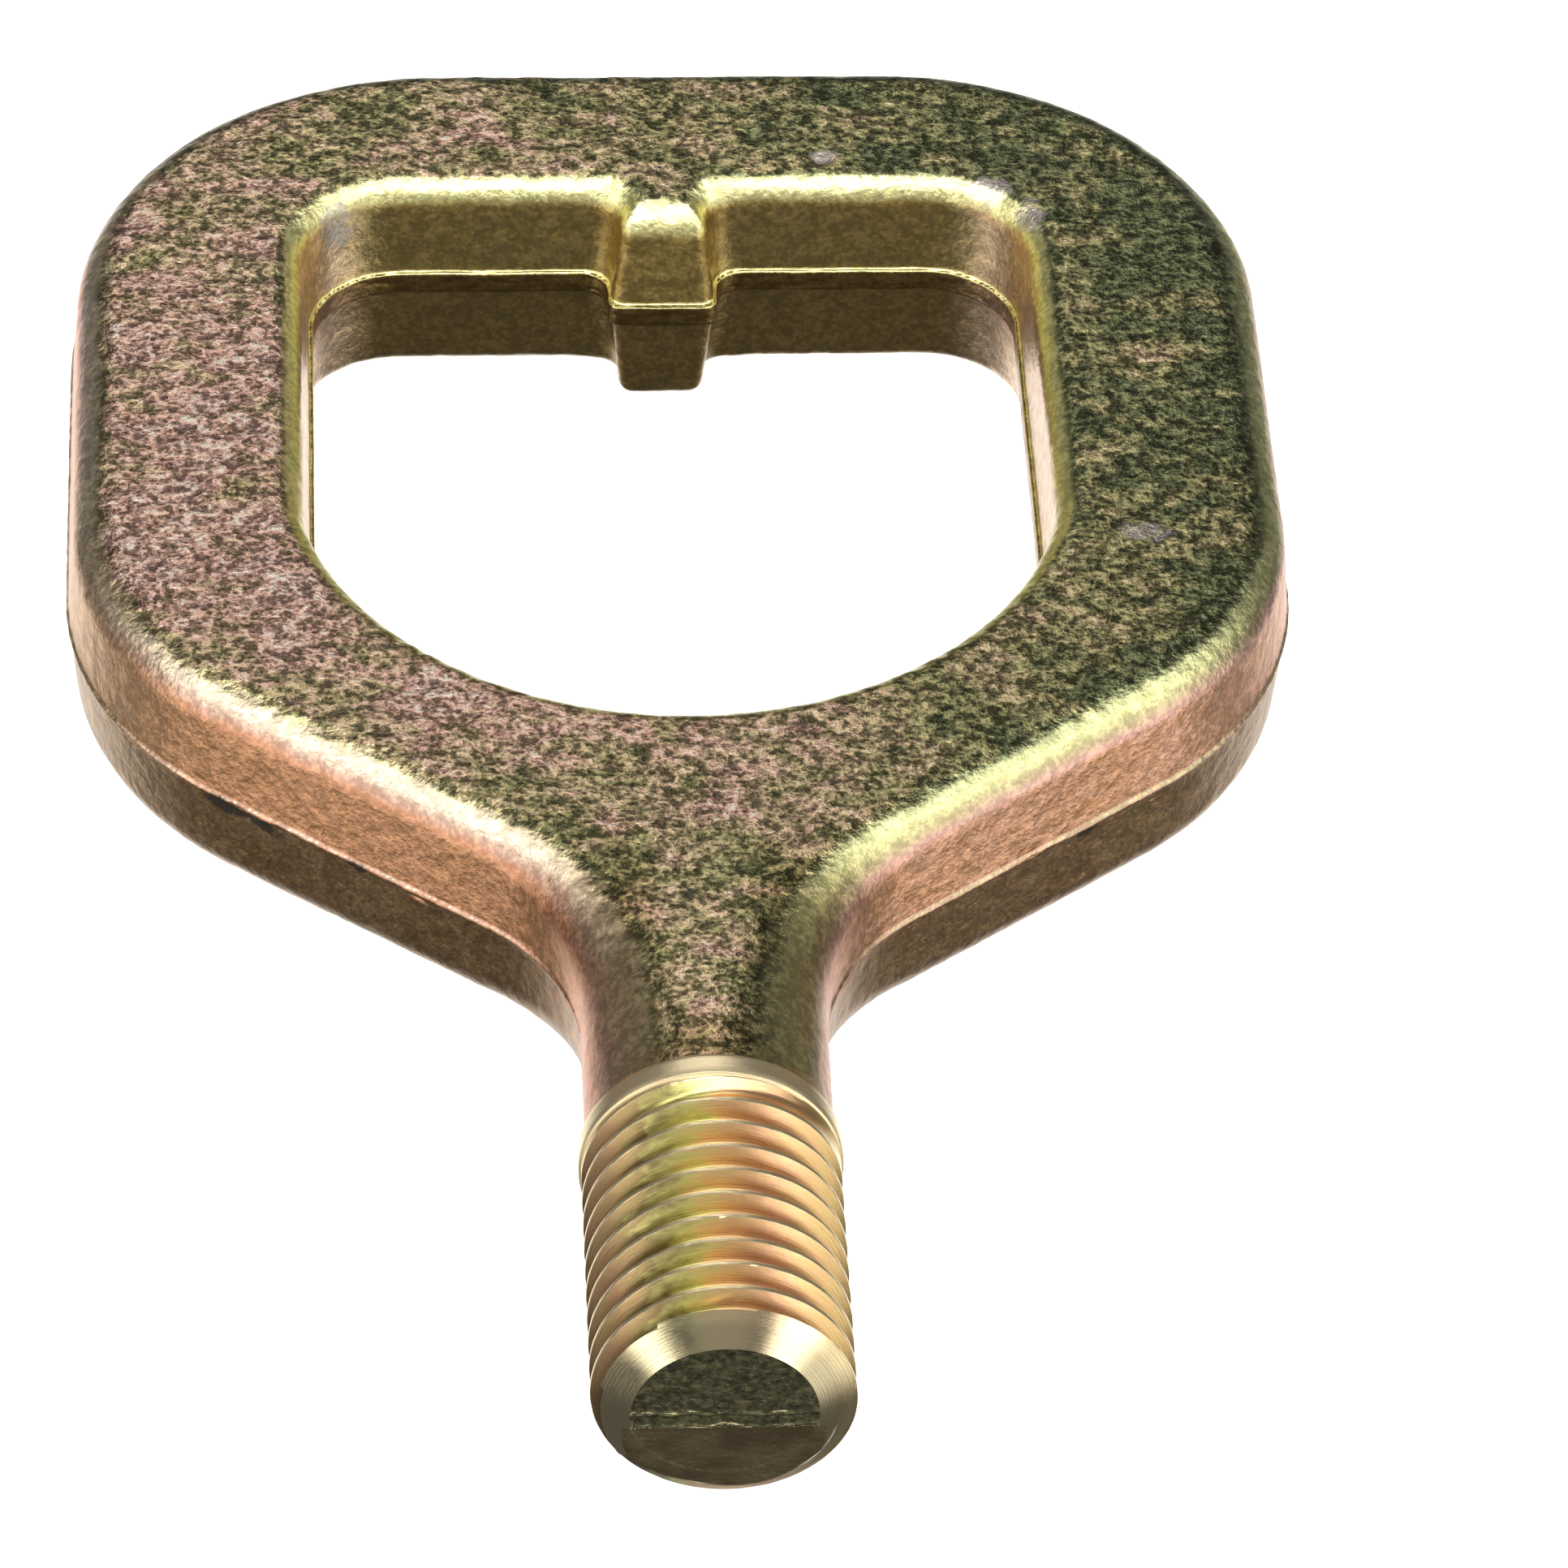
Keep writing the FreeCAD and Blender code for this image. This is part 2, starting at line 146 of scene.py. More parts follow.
def noise(points, sizes, seed):
    """Smooth noise from -1 to 1 with features of the given size along each axis."""
    p = points / np.asarray(sizes, float)
    cell = np.floor(p)
    f = p - cell
    f = f * f * f * (f * (f * 6 - 15) + 10)
    total = np.zeros(len(p))
    for corner in np.ndindex(2, 2, 2):
        weight = np.prod(np.where(corner, f, 1 - f), axis=-1)
        total += weight * lattice(cell + corner, seed)
    return total


def layered(points, sizes, seed, layers=3):
    """Noise with finer, weaker layers added."""
    sizes = np.asarray(sizes, float)
    total = sum(noise(points, sizes / 1.9 ** i, seed + i) / 1.7 ** i for i in range(layers))
    return total / 1.5


def smooth_step(low, high, value):
    share = np.clip((value - low) / (high - low), 0, 1)
    return share * share * (3 - 2 * share)


# ---- plan outlines -------------------------------------------
ARC_STEP = math.radians(2.0)


def rounded(corners):
    """Closed polyline through (x, y, radius) corners, each turned with a tangent arc."""
    points = []
    for i, (x, y, radius) in enumerate(corners):
        here = np.array([x, y])
        before = np.array(corners[i - 1][:2]) - here
        after = np.array(corners[(i + 1) % len(corners)][:2]) - here
        before /= np.linalg.norm(before)
        after /= np.linalg.norm(after)
        half = math.acos(np.clip(before @ after, -1, 1)) / 2
        middle = before + after
        centre = here + middle / np.linalg.norm(middle) * radius / math.sin(half)
        start = here + before * radius / math.tan(half) - centre
        end = here + after * radius / math.tan(half) - centre
        side = 1 if start[0] * end[1] - start[1] * end[0] > 0 else -1
        turn = math.pi - 2 * half
        for angle in np.linspace(0, side * turn, max(int(turn / ARC_STEP), 2)):
            c, s = math.cos(angle), math.sin(angle)
            points.append(centre + (c * start[0] - s * start[1], s * start[0] + c * start[1]))
    return np.array(points)


def mirrored(right):
    """A closed outline from its right-hand corners, given from near to far."""
    return rounded(right + [(-x, y, r) for x, y, r in reversed(right)])


def outer_outline():
    """The eye, its flanks, and the neck run down past the land."""
    slope = math.tan(math.radians(FLANK_DEG))
    return mirrored([(NECK_R, -NECK_RUN_ON, NECK_END_R),
                     (NECK_R, FLANK_APEX_Y + slope * NECK_R, CROTCH_R),
                     (HALF_WIDTH, FLANK_APEX_Y + slope * HALF_WIDTH, NEAR_CORNER_R),
                     (HALF_WIDTH, FAR_Y, FAR_CORNER_R)])


def opening_outline():
    """The aperture: a bow at its near side, joined to three straight sides."""
    blend_x = OPENING_HALF_W - OPENING_BLEND_R
    blend_y = OPENING_ARC_Y - math.sqrt((OPENING_ARC_R - OPENING_BLEND_R) ** 2 - blend_x ** 2)
    meet = math.atan2(blend_y - OPENING_ARC_Y, blend_x)
    bow = [(OPENING_ARC_R * math.cos(a), OPENING_ARC_Y + OPENING_ARC_R * math.sin(a))
           for a in np.arange(-math.pi / 2, meet, ARC_STEP)]
    blend = [(blend_x + OPENING_BLEND_R * math.cos(a), blend_y + OPENING_BLEND_R * math.sin(a))
             for a in np.arange(meet, 0, 2 * ARC_STEP)]
    c = OPENING_CORNER_R
    corner = [(OPENING_HALF_W - c + c * math.cos(a), OPENING_FAR_Y - c + c * math.sin(a))
              for a in np.linspace(0, math.pi / 2, 24)]
    right = bow + blend + corner
    left = [(-x, y) for x, y in reversed(right[1:])]
    return np.array(right + left)


def plan_distance(x, y, outline):
    """Distance from each (x, y) to a closed outline, negative inside it."""
    best = np.full(x.shape, FAR_AWAY)
    inside = np.zeros(x.shape, bool)
    for (x0, y0), (x1, y1) in zip(outline, np.roll(outline, -1, axis=0)):
        dx, dy = x1 - x0, y1 - y0
        t = np.clip(((x - x0) * dx + (y - y0) * dy) / (dx * dx + dy * dy), 0, 1)
        best = np.minimum(best, (x - x0 - t * dx) ** 2 + (y - y0 - t * dy) ** 2)
        if dy:
            crosses = (y0 > y) != (y1 > y)
            inside ^= crosses & (x < x0 + (y - y0) * dx / dy)
    return np.where(inside, -1, 1) * np.sqrt(best)


# ---- the forged eye as an implicit solid ---------------------
CELL = 0.4                 # spacing of the grid in plan
MARGIN = 2                 # the grid goes this far past the metal
END_OVERLAP = 0.5          # the neck runs this far into the turned land
LAYER_FINE = 0.14          # spacing of the grid's layers at the parting plane
LAYER_EDGE = 0.36          # and at the rounded edges
WALL_LAYERS = 14
SLOPE_REACH = 0.05         # step of the gradient's differences
FAR_AWAY = 1e9


def both(a, b, r):
    """Common part of two solids, with their edge rounded to r."""
    return np.minimum(np.maximum(a + r, b + r), 0) + np.hypot(np.maximum(a + r, 0), np.maximum(b + r, 0)) - r


def either(a, b, r):
    """Two solids together, with the inner corner between them filled to r."""
    return -both(-a, -b, r)


class PlanGrid:
    """Plan distances to both outlines, worked out once and read back at any point."""

    def __init__(self):
        self.xs = np.arange(-HALF_WIDTH - MARGIN, HALF_WIDTH + MARGIN + CELL, CELL)
        self.ys = np.arange(LAND_LEN - END_OVERLAP - MARGIN / 2, FAR_Y + MARGIN + CELL, CELL)
        x, y = np.meshgrid(self.xs, self.ys, indexing="ij")
        self.outer = plan_distance(x, y, outer_outline())
        self.opening = plan_distance(x, y, opening_outline())

    def read(self, values, x, y):
        """Bilinear value of a plan grid at points."""
        u = np.clip((x - self.xs[0]) / CELL, 0, len(self.xs) - 1.001)
        v = np.clip((y - self.ys[0]) / CELL, 0, len(self.ys) - 1.001)
        i, j = u.astype(int), v.astype(int)
        u, v = u - i, v - j
        near = values[i, j] * (1 - u) + values[i + 1, j] * u
        far = values[i, j + 1] * (1 - u) + values[i + 1, j + 1] * u
        return near * (1 - v) + far * v


def forging(x, y, z, outer, opening):
    """Signed size of the forging's solid at points, negative in the metal."""
    height = abs(z)
    plate = smooth_step(LAND_LEN, NECK_END_Y, y)
    half = NECK_R + (HALF_THICK - NECK_R) * plate
    edge = np.minimum(NECK_R + (OUTER_EDGE_R - NECK_R) * plate, half)
    faces = height - half
    ridge = FLASH_PROUD * (1 - smooth_step(0.5 * FLASH_HALF, FLASH_HALF, height)) * plate
    body = both(outer + DRAFT_TAN * plate * height + FLASH_PROUD - ridge, faces, edge)

    drafted = BAND_PROUD + DRAFT_TAN * np.maximum(height - BAND_HALF, 0)
    band = 1 - smooth_step(BAND_HALF - BAND_SOFT, BAND_HALF + BAND_SOFT, height)
    wall = drafted * (1 - band) - opening
    share = np.clip(height / HALF_THICK, 0, 1) * (1 - band)
    taper = np.where(z > 0, TOOTH_UPPER_TAPER, TOOTH_LOWER_TAPER)
    flank = abs(x) - TOOTH_HALF_W + TOOTH_SIDE_TAPER * share + BAND_PROUD * (1 - band) * TOOTH_BAND_SIDE
    tip = TOOTH_TIP_Y + taper * share + BAND_PROUD * (1 - band) * TOOTH_BAND_TIP - y
    metal = either(wall, both(flank, tip, TOOTH_TIP_R), TOOTH_ROOT_R)
    away = smooth_step(*TOOTH_RIM_X, abs(x) - TOOTH_HALF_W)
    away = np.maximum(away, smooth_step(*TOOTH_RIM_Y, TOOTH_TIP_Y - y))
    rim = np.where(z > 0, UPPER_INNER_EDGE_R, LOWER_INNER_EDGE_R)
    tooth_rim = np.where(z > 0, TOOTH_UPPER_EDGE_R, TOOTH_LOWER_EDGE_R)
    rim = tooth_rim + (rim - tooth_rim) * away
    ring = both(metal, faces, rim)
    return np.maximum(np.maximum(body, ring), LAND_LEN - END_OVERLAP - y)


def levels():
    """Heights of the grid's layers: close together round the parting plane and the rounded edges."""
    fine = np.arange(0.03, BAND_HALF + 0.45, LAYER_FINE)
    wall = np.linspace(fine[-1] + 0.3, HALF_THICK - 3.0, WALL_LAYERS)
    edge = np.arange(wall[-1] + LAYER_EDGE, NECK_R + 1.0, LAYER_EDGE)
    upper = np.concatenate([fine, wall, edge])
    return np.concatenate([-upper[::-1], upper])


def surface_net(values, axes):
    """Vertices and quads of the zero surface of a grid of values; axes are its coordinates."""
    inside = values < 0
    count = sum(inside[i:i - 1 or None, j:j - 1 or None, k:k - 1 or None].astype(np.int8)
                for i, j, k in np.ndindex(2, 2, 2))
    cells = np.argwhere((count > 0) & (count < 8))
    index = np.full(count.shape, -1, np.int64)
    index[tuple(cells.T)] = np.arange(len(cells))
    total = np.zeros((len(cells), 3))
    crossings = np.zeros(len(cells))
    for axis in range(3):
        others = [a for a in range(3) if a != axis]
        for offset in np.ndindex(2, 2):
            start = cells.copy()
            start[:, others] += offset
            end = start.copy()
            end[:, axis] += 1
            a, b = values[tuple(start.T)], values[tuple(end.T)]
            cut = (a < 0) != (b < 0)
            t = np.where(cut, a / np.where(cut, a - b, 1), 0)
            point = np.stack([axes[i][start[:, i]] for i in range(3)], 1)
            point[:, axis] += t * (axes[axis][end[:, axis]] - axes[axis][start[:, axis]])
            total += point * cut[:, None]
            crossings += cut
    quads = []
    for axis in range(3):
        near, far = [slice(None)] * 3, [slice(None)] * 3
        near[axis], far[axis] = slice(None, -1), slice(1, None)
        a, b = inside[tuple(near)], inside[tuple(far)]
        edges = np.argwhere(a != b)
        others = [i for i in range(3) if i != axis]
        edges = edges[(edges[:, others] > 0).all(1)]
        leaves = a[tuple(edges.T)]
        ring = []
        for step in ((-1, -1), (0, -1), (0, 0), (-1, 0)):
            cell = edges.copy()
            cell[:, others] += step
            ring.append(index[tuple(cell.T)])
        quad = np.stack(ring, 1)
        flip = leaves if axis == 1 else ~leaves
        quad[flip] = quad[flip][:, ::-1]
        quads.append(quad)
    return total / crossings[:, None], np.concatenate(quads)


def relax(points, quads):
    """Move each vertex half way to the mean of its neighbours, to even out their spacing."""
    start, end = quads.T.ravel(), np.roll(quads, -1, axis=1).T.ravel()
    degree = np.bincount(start, minlength=len(points))
    total = np.stack([np.bincount(start, points[end, i], len(points)) for i in range(3)], 1)
    return points + (total / degree[:, None] - points) * 0.5


def slope_of(value_at, points):
    """Value and unit gradient of an implicit solid at points."""
    value = value_at(points)
    steps = SLOPE_REACH * np.eye(3)
    slope = np.stack([value_at(points + step) - value_at(points - step) for step in steps], 1)
    slope /= 2 * SLOPE_REACH
    length = np.linalg.norm(slope, axis=1, keepdims=True)
    return value / np.maximum(length[:, 0], 0.2), slope / np.maximum(length, 1e-6)


def forged_surface():
    """Vertices, outward normals and quads of the forging before its surface texture."""
    plan = PlanGrid()
    axes = (plan.xs, plan.ys, levels())
    values = forging(*np.meshgrid(*axes, indexing="ij"), plan.outer[:, :, None], plan.opening[:, :, None])
    points, quads = surface_net(values, axes)

    def value_at(p):
        outer = plan.read(plan.outer, p[:, 0], p[:, 1])
        opening = plan.read(plan.opening, p[:, 0], p[:, 1])
        return forging(p[:, 0], p[:, 1], p[:, 2], outer, opening)

    for _ in range(3):
        points = relax(points, quads)
        for _ in range(2):
            gap, normal = slope_of(value_at, points)
            points = points - np.clip(gap, -0.3, 0.3)[:, None] * normal
    return points, slope_of(value_at, points)[1], quads


# ---- surface texture of the forging --------------------------
DENTS = (                  # x, y, radius, depth of the marks on the upper face and rims
    (13.4, 112.4, 1.3, 0.30), (8.0, 116.0, 1.1, 0.24), (-27.2, 103.6, 1.0, 0.30),
    (-26.0, 101.6, 0.8, 0.22), (27.6, 107.2, 1.2, 0.16), (37.6, 63.5, 0.9, 0.14),
    (-21.5, 49.5, 1.4, 0.15), (24.8, 41.5, 1.2, 0.14), (-2.4, 20.0, 0.8, 0.16),
)
SCRATCHES = (              # x0, y0, x1, y1, half width, depth
    (-38.5, 70.8, -32.2, 75.4, 0.28, 0.11), (-38.0, 68.6, -32.6, 71.6, 0.22, 0.09),
    (31.8, 88.4, 37.0, 85.6, 0.24, 0.09), (32.4, 86.6, 35.8, 86.2, 0.20, 0.07),
    (-40.8, 58.2, -36.2, 60.4, 0.24, 0.08),
)


WRINKLE_DEPTH = 0.085      # shot-blasted skin of the two faces
FOLD_DEPTH = 0.045
WALL_DEPTH = 0.030         # and of the walls
FINE_DEPTH = 0.024
BROAD_DEPTH = 0.05
CHIP_DEPTH = 0.20          # scale broken out along the parting line
CHIP_REACH = 1.1
DENT_SQUASH = 1.35         # dents are this much shorter along the stud's axis
DENT_RAGGED = 0.25
SCRATCH_WANDER = 0.35      # how far a scratch strays from its straight line
SKIN_INSET = 0.03          # keeps the skin's peaks within the forging's size
LAND_FADE = 2.5            # the relief fades out over this length above the land


def forged_relief(points, normal):
    """Outward displacement: shot-blast wrinkles, dents, scratches and chips of scale."""
    x, y, z = points.T
    up = np.clip(normal[:, 2], 0, 1)
    face = smooth_step(0.5, 0.95, abs(normal[:, 2]))
    wrinkle = layered(points, (1.7, 0.95, 1.3), 11)
    fold = 1 - abs(layered(points + (31, 7, 3), (2.6, 1.3, 2.0), 17, 2)) * 2
    fine = layered(points, (0.9, 0.8, 0.8), 23, 2)
    broad = noise(points, (14, 11, 9), 5)
    heavy = 0.65 + 0.35 * np.tanh(2.5 * noise(points + (5, 0, 0), (26, 18, 20), 41) - x / 34)
    relief = face * heavy * (WRINKLE_DEPTH * wrinkle + FOLD_DEPTH * np.clip(fold, -1, 1))
    relief += (1 - face) * (WALL_DEPTH * wrinkle) + FINE_DEPTH * fine + BROAD_DEPTH * broad

    for cx, cy, radius, depth in DENTS:
        reach = np.hypot(x - cx, (y - cy) * DENT_SQUASH) / radius
        reach *= 1 + DENT_RAGGED * noise(points, (0.9, 0.9, 0.9), 61)
        relief -= depth * up * np.clip(1 - reach * reach, 0, 1)
    for x0, y0, x1, y1, half, depth in SCRATCHES:
        dx, dy = x1 - x0, y1 - y0
        t = np.clip(((x - x0) * dx + (y - y0) * dy) / (dx * dx + dy * dy), 0, 1)
        away = np.hypot(x - x0 - t * dx, y - y0 - t * dy + SCRATCH_WANDER * np.sin(t * 5)) / half
        relief += depth * up * (np.exp(-(away - 1.6) ** 2) - 1.2 * np.exp(-away ** 2))
    chips = layered(points + (0, 0, 9), (2.2, 2.2, 0.7), 71, 2)
    near_line = np.exp(-(z / CHIP_REACH) ** 2) * (1 - face)
    relief -= CHIP_DEPTH * near_line * np.clip(chips - 0.35, 0, 1)
    return relief


def to_mesh(name, points, faces, sharp_deg=None):
    """A smooth Blender object from millimetre points and faces, sharp at edges over an angle."""
    mesh = bpy.data.meshes.new(name)
    points = np.asarray(points, float) * MM
    sizes = np.array([len(face) for face in faces])
    loops = np.concatenate(faces)
    mesh.vertices.add(len(points))
    mesh.vertices.foreach_set("co", points.astype(np.float32).ravel())
    mesh.loops.add(len(loops))
    mesh.loops.foreach_set("vertex_index", np.asarray(loops, np.int32))
    mesh.polygons.add(len(sizes))
    starts = np.concatenate([[0], np.cumsum(sizes)[:-1]]).astype(np.int32)
    mesh.polygons.foreach_set("loop_start", starts)
    mesh.update(calc_edges=True)
    mesh.validate()
    mesh.shade_smooth()
    if sharp_deg is not None:
        mesh.set_sharp_from_angle(angle=math.radians(sharp_deg))
    obj = bpy.data.objects.new(name, mesh)
    bpy.context.scene.collection.objects.link(obj)
    return obj


def forged_eye():
    """The whole forging down to the turned land, with its surface relief."""
    points, normal, quads = forged_surface()
    fade = smooth_step(LAND_LEN, LAND_LEN + LAND_FADE, points[:, 1])
    relief = forged_relief(points, normal) * fade - SKIN_INSET
    return to_mesh("forged_eye", points + normal * relief[:, None], quads)


# ---- the machined stud ---------------------------------------
COLUMNS = 420              # vertices round the stud
THREAD_START_Y = 0.52      # first crest's middle at angle 0, still inside the land
RUN_OUT_TURNS = 0.5        # the groove climbs out of the shank over this much of a turn
END_RINGS = 60             # rings of faces on the end
FLANK_TAN = math.tan(math.radians(30.0))
EDGE_SOFT = 0.05           # rounding of the thread's crests
SHARP_DEG = 38             # edges steeper than this are shaded sharp
RIM_R = ROOT_R - 0.03      # where the columns of the shank hand over to the rings of the end
BURR_DEPTH = 0.014
MERGE = 2e-4               # points nearer than this become one
ROW_STEP = 0.001           # rows of the thread that are still inside the land are pressed this close
PLAIN_REACH = 3.0          # plain shank between the land and the first row of the thread, at most
PLAIN_ROWS = 6
LAND_PROFILE = np.array([  # (y, radius) from the land's upper edge to the shank below it
    (LAND_LEN, LAND_R - 0.9), (LAND_LEN, LAND_R - 0.30), (LAND_LEN - 0.08, LAND_R - 0.10),
    (LAND_LEN - 0.24, LAND_R), (1.5, LAND_R), (0.8, LAND_R), (0.16, LAND_R),
    (0.06, LAND_R - 0.05), (0.01, CREST_R + 0.04), (-0.04, CREST_R)])


def thread_stations():
    """(offset along the axis, radius) of one pitch of thread, from one crest's middle to the next."""
    depth = CREST_R - ROOT_R
    crest = CREST_FLAT / 2
    root = crest + depth * FLANK_TAN
    rows = [(0.0, CREST_R), (crest - EDGE_SOFT, CREST_R),
            (crest + 0.25 * EDGE_SOFT, CREST_R - 0.35 * EDGE_SOFT)]
    for share in (0.12, 0.32, 0.52, 0.72, 0.88):
        rows.append((crest + depth * share * FLANK_TAN, CREST_R - depth * share))
    rows.append((root + 0.04, ROOT_R + 0.04))
    rows.append((PITCH / 2, ROOT_R - 0.02))
    back = [(PITCH - y, r) for y, r in reversed(rows[1:-1])]
    return rows + back


def stud_columns():
    """For every angle, the (y, radius) rows from the land's upper edge down past the tip."""
    stations = np.array(thread_stations())
    turns = int(math.ceil(-TIP_Y / PITCH)) + 2
    down = np.array([PITCH * k + station for k in range(turns) for station in stations[:, 0]])
    cut = CREST_R - np.tile(stations[:, 1], turns)
    shank_top = LAND_PROFILE[-1, 0]
    lowest = shank_top - ROW_STEP * np.arange(1, len(down) + 1)
    columns = []
    for turn in np.arange(COLUMNS) / COLUMNS:
        depth = cut * smooth_step(0, RUN_OUT_TURNS, turn + down // PITCH)
        y = THREAD_START_Y - PITCH * turn - down
        radius = np.where(y > lowest, CREST_R, CREST_R - depth)
        y = np.minimum(y, lowest)
        plain = np.linspace(shank_top, max(y[0], shank_top - PLAIN_REACH), PLAIN_ROWS)[1:-1]
        rows_y = np.concatenate([LAND_PROFILE[:, 0], plain, y])
        rows_r = np.concatenate([LAND_PROFILE[:, 1], np.full(len(plain), CREST_R), radius])
        columns.append(np.stack([rows_y, rows_r], 1))
    return np.array(columns)


def end_height(radius, angle):
    """Y of the stud's end at a radius and angle: flat tip, chamfer and the stepped, tilted heel."""
    z = radius * np.sin(angle)
    cone = TIP_Y + (radius - TIP_R) * CHAMFER_LEN / (CREST_R - TIP_R)
    heel = TIP_Y + HEEL_STEP + HEEL_TAN * (HEEL_TOP_Z - z)
    heel = TIP_Y + (heel - TIP_Y) * smooth_step(0.06, -0.06, z - HEEL_TOP_Z)
    return np.maximum(np.maximum(cone, TIP_Y), heel)


def bent_into_end(y, r, angle):
    """Rows that would pass the stud's end run inwards along it instead; also which ones do."""
    past = np.maximum.accumulate(y < end_height(r, angle), axis=1)
    inwards = np.minimum.accumulate(np.where(past, r, FAR_AWAY), axis=1)
    r = np.where(past, np.maximum(inwards, RIM_R), r)
    r[:, -1] = RIM_R
    past[:, -1] = True
    return np.where(past, end_height(r, angle), y), r, past


def machined_stud():
    """Land, thread, chamfer and end face as one closed mesh."""
    columns = stud_columns()
    angles = TAU * np.arange(COLUMNS) / COLUMNS
    angle = np.repeat(angles[:, None], columns.shape[1], 1)
    y, r, past = bent_into_end(columns[:, :, 0], columns[:, :, 1], angle)

    flat = np.stack([r * np.cos(angle), y, r * np.sin(angle)], -1).reshape(-1, 3)
    out = np.stack([np.cos(angle), np.zeros_like(angle), np.sin(angle)], -1).reshape(-1, 3)
    crest = smooth_step(CREST_R - 0.25, CREST_R, r).ravel()
    threaded = (y < -0.3).ravel()
    burr = layered(flat, (0.7, 0.35, 0.7), 83, 2) * np.where(threaded, 0.3 + crest, 0.15)
    flat = flat + out * (BURR_DEPTH * burr * ~past.ravel())[:, None]
    rows = y.shape[1]
    grid = np.arange(COLUMNS * rows).reshape(COLUMNS, rows)
    a, b = grid[:-1, :-1].ravel(), grid[1:, :-1].ravel()
    faces = [np.stack([a, a + 1, b + 1, b], 1)]
    triangles = zip_columns(grid[-1], grid[0], y[-1], y[0])

    # end face: rings from the rim to the middle
    points = [flat]
    previous = grid[:, -1]
    for k in range(1, END_RINGS):
        radius = RIM_R * (1 - k / END_RINGS)
        height = end_height(np.full(COLUMNS, radius), angles)
        points.append(np.stack([radius * np.cos(angles), height, radius * np.sin(angles)], 1))
        ring = len(flat) + COLUMNS * (k - 1) + np.arange(COLUMNS)
        faces.append(np.stack([previous, ring, np.roll(ring, -1), np.roll(previous, -1)], 1))
        previous = ring
    middle = len(flat) + COLUMNS * (END_RINGS - 1)
    points.append([(0, TIP_Y, 0), (0, LAND_LEN, 0)])
    for i, j in zip(range(COLUMNS), np.roll(np.arange(COLUMNS), -1)):
        triangles.append((previous[i], middle, previous[j]))
        triangles.append((grid[i, 0], grid[j, 0], middle + 1))
    points = np.concatenate(points)
    points += end_relief(points)
    return join_close("machined_stud", points, [*np.concatenate(faces), *triangles])


END_DEPTH = 3.0            # the end's texture stays within this distance of the tip
UPPER_SET_BACK = 0.17      # keep the texture's peaks within the stud's length
LOWER_SET_BACK = 0.05
UPPER_ROUGH = 0.05
LOWER_ROUGH = 0.012
LINE_WANDER = 0.18
LEDGE_DEPTH = 0.10
LEDGE_SOFT = 0.1
RIDGE_RISE = 0.08          # ridges of torn metal along the heel's top and the line above it
RIDGE_HALF = 0.20
RIDGE_LINES = (HEEL_TOP_Z + 0.12, LEDGE_Z)
LEAST_SHIFT = 0.01


def end_relief(points):
    """Texture of the sheared end face, pushed up the axis into the bar."""
    radius = np.hypot(points[:, 0], points[:, 2])
    z = points[:, 2] + LINE_WANDER * noise(points, (1.3, 9, 9), 99)
    on_end = (radius < TIP_R + 0.02) & (points[:, 1] < TIP_Y + END_DEPTH)
    coarse = UPPER_ROUGH * layered(points, (0.8, 0.9, 0.6), 91, 3)
    fine = LOWER_ROUGH * layered(points, (1.6, 0.9, 0.6), 97, 2)
    ridges = sum(np.exp(-((z - line) / RIDGE_HALF) ** 2) for line in RIDGE_LINES)
    ledge = LEDGE_DEPTH * smooth_step(LEDGE_Z + LEDGE_SOFT, LEDGE_Z - LEDGE_SOFT, z)
    upper = UPPER_SET_BACK + coarse + ledge - RIDGE_RISE * ridges
    shift = np.where(points[:, 2] > HEEL_TOP_Z, upper, LOWER_SET_BACK + fine)
    shift = np.maximum(shift, LEAST_SHIFT) * on_end
    return np.stack([np.zeros(len(points)), shift, np.zeros(len(points))], 1)


def zip_columns(left, right, left_y, right_y):
    """Triangles between two columns of rows that don't match one to one."""
    triangles = []
    i = j = 0
    while i < len(left) - 1 or j < len(right) - 1:
        if j == len(right) - 1 or (i < len(left) - 1 and left_y[i + 1] > right_y[j + 1]):
            triangles.append((left[i], left[i + 1], right[j]))
            i += 1
        else:
            triangles.append((left[i], right[j + 1], right[j]))
            j += 1
    return triangles


def join_close(name, points, faces):
    """Mesh whose repeated points are merged and whose collapsed faces are gone."""
    key = np.round(points / MERGE).astype(np.int64)
    _, first, back = np.unique(key, axis=0, return_index=True, return_inverse=True)
    back = back.ravel()
    kept = []
    for face in faces:
        ring = back[np.asarray(face)]
        ring = [v for i, v in enumerate(ring) if v != ring[i - 1]]
        if len(set(ring)) > 2 and len(set(ring)) == len(ring):
            kept.append(ring)
    return to_mesh(name, points[first], kept, sharp_deg=SHARP_DEG)


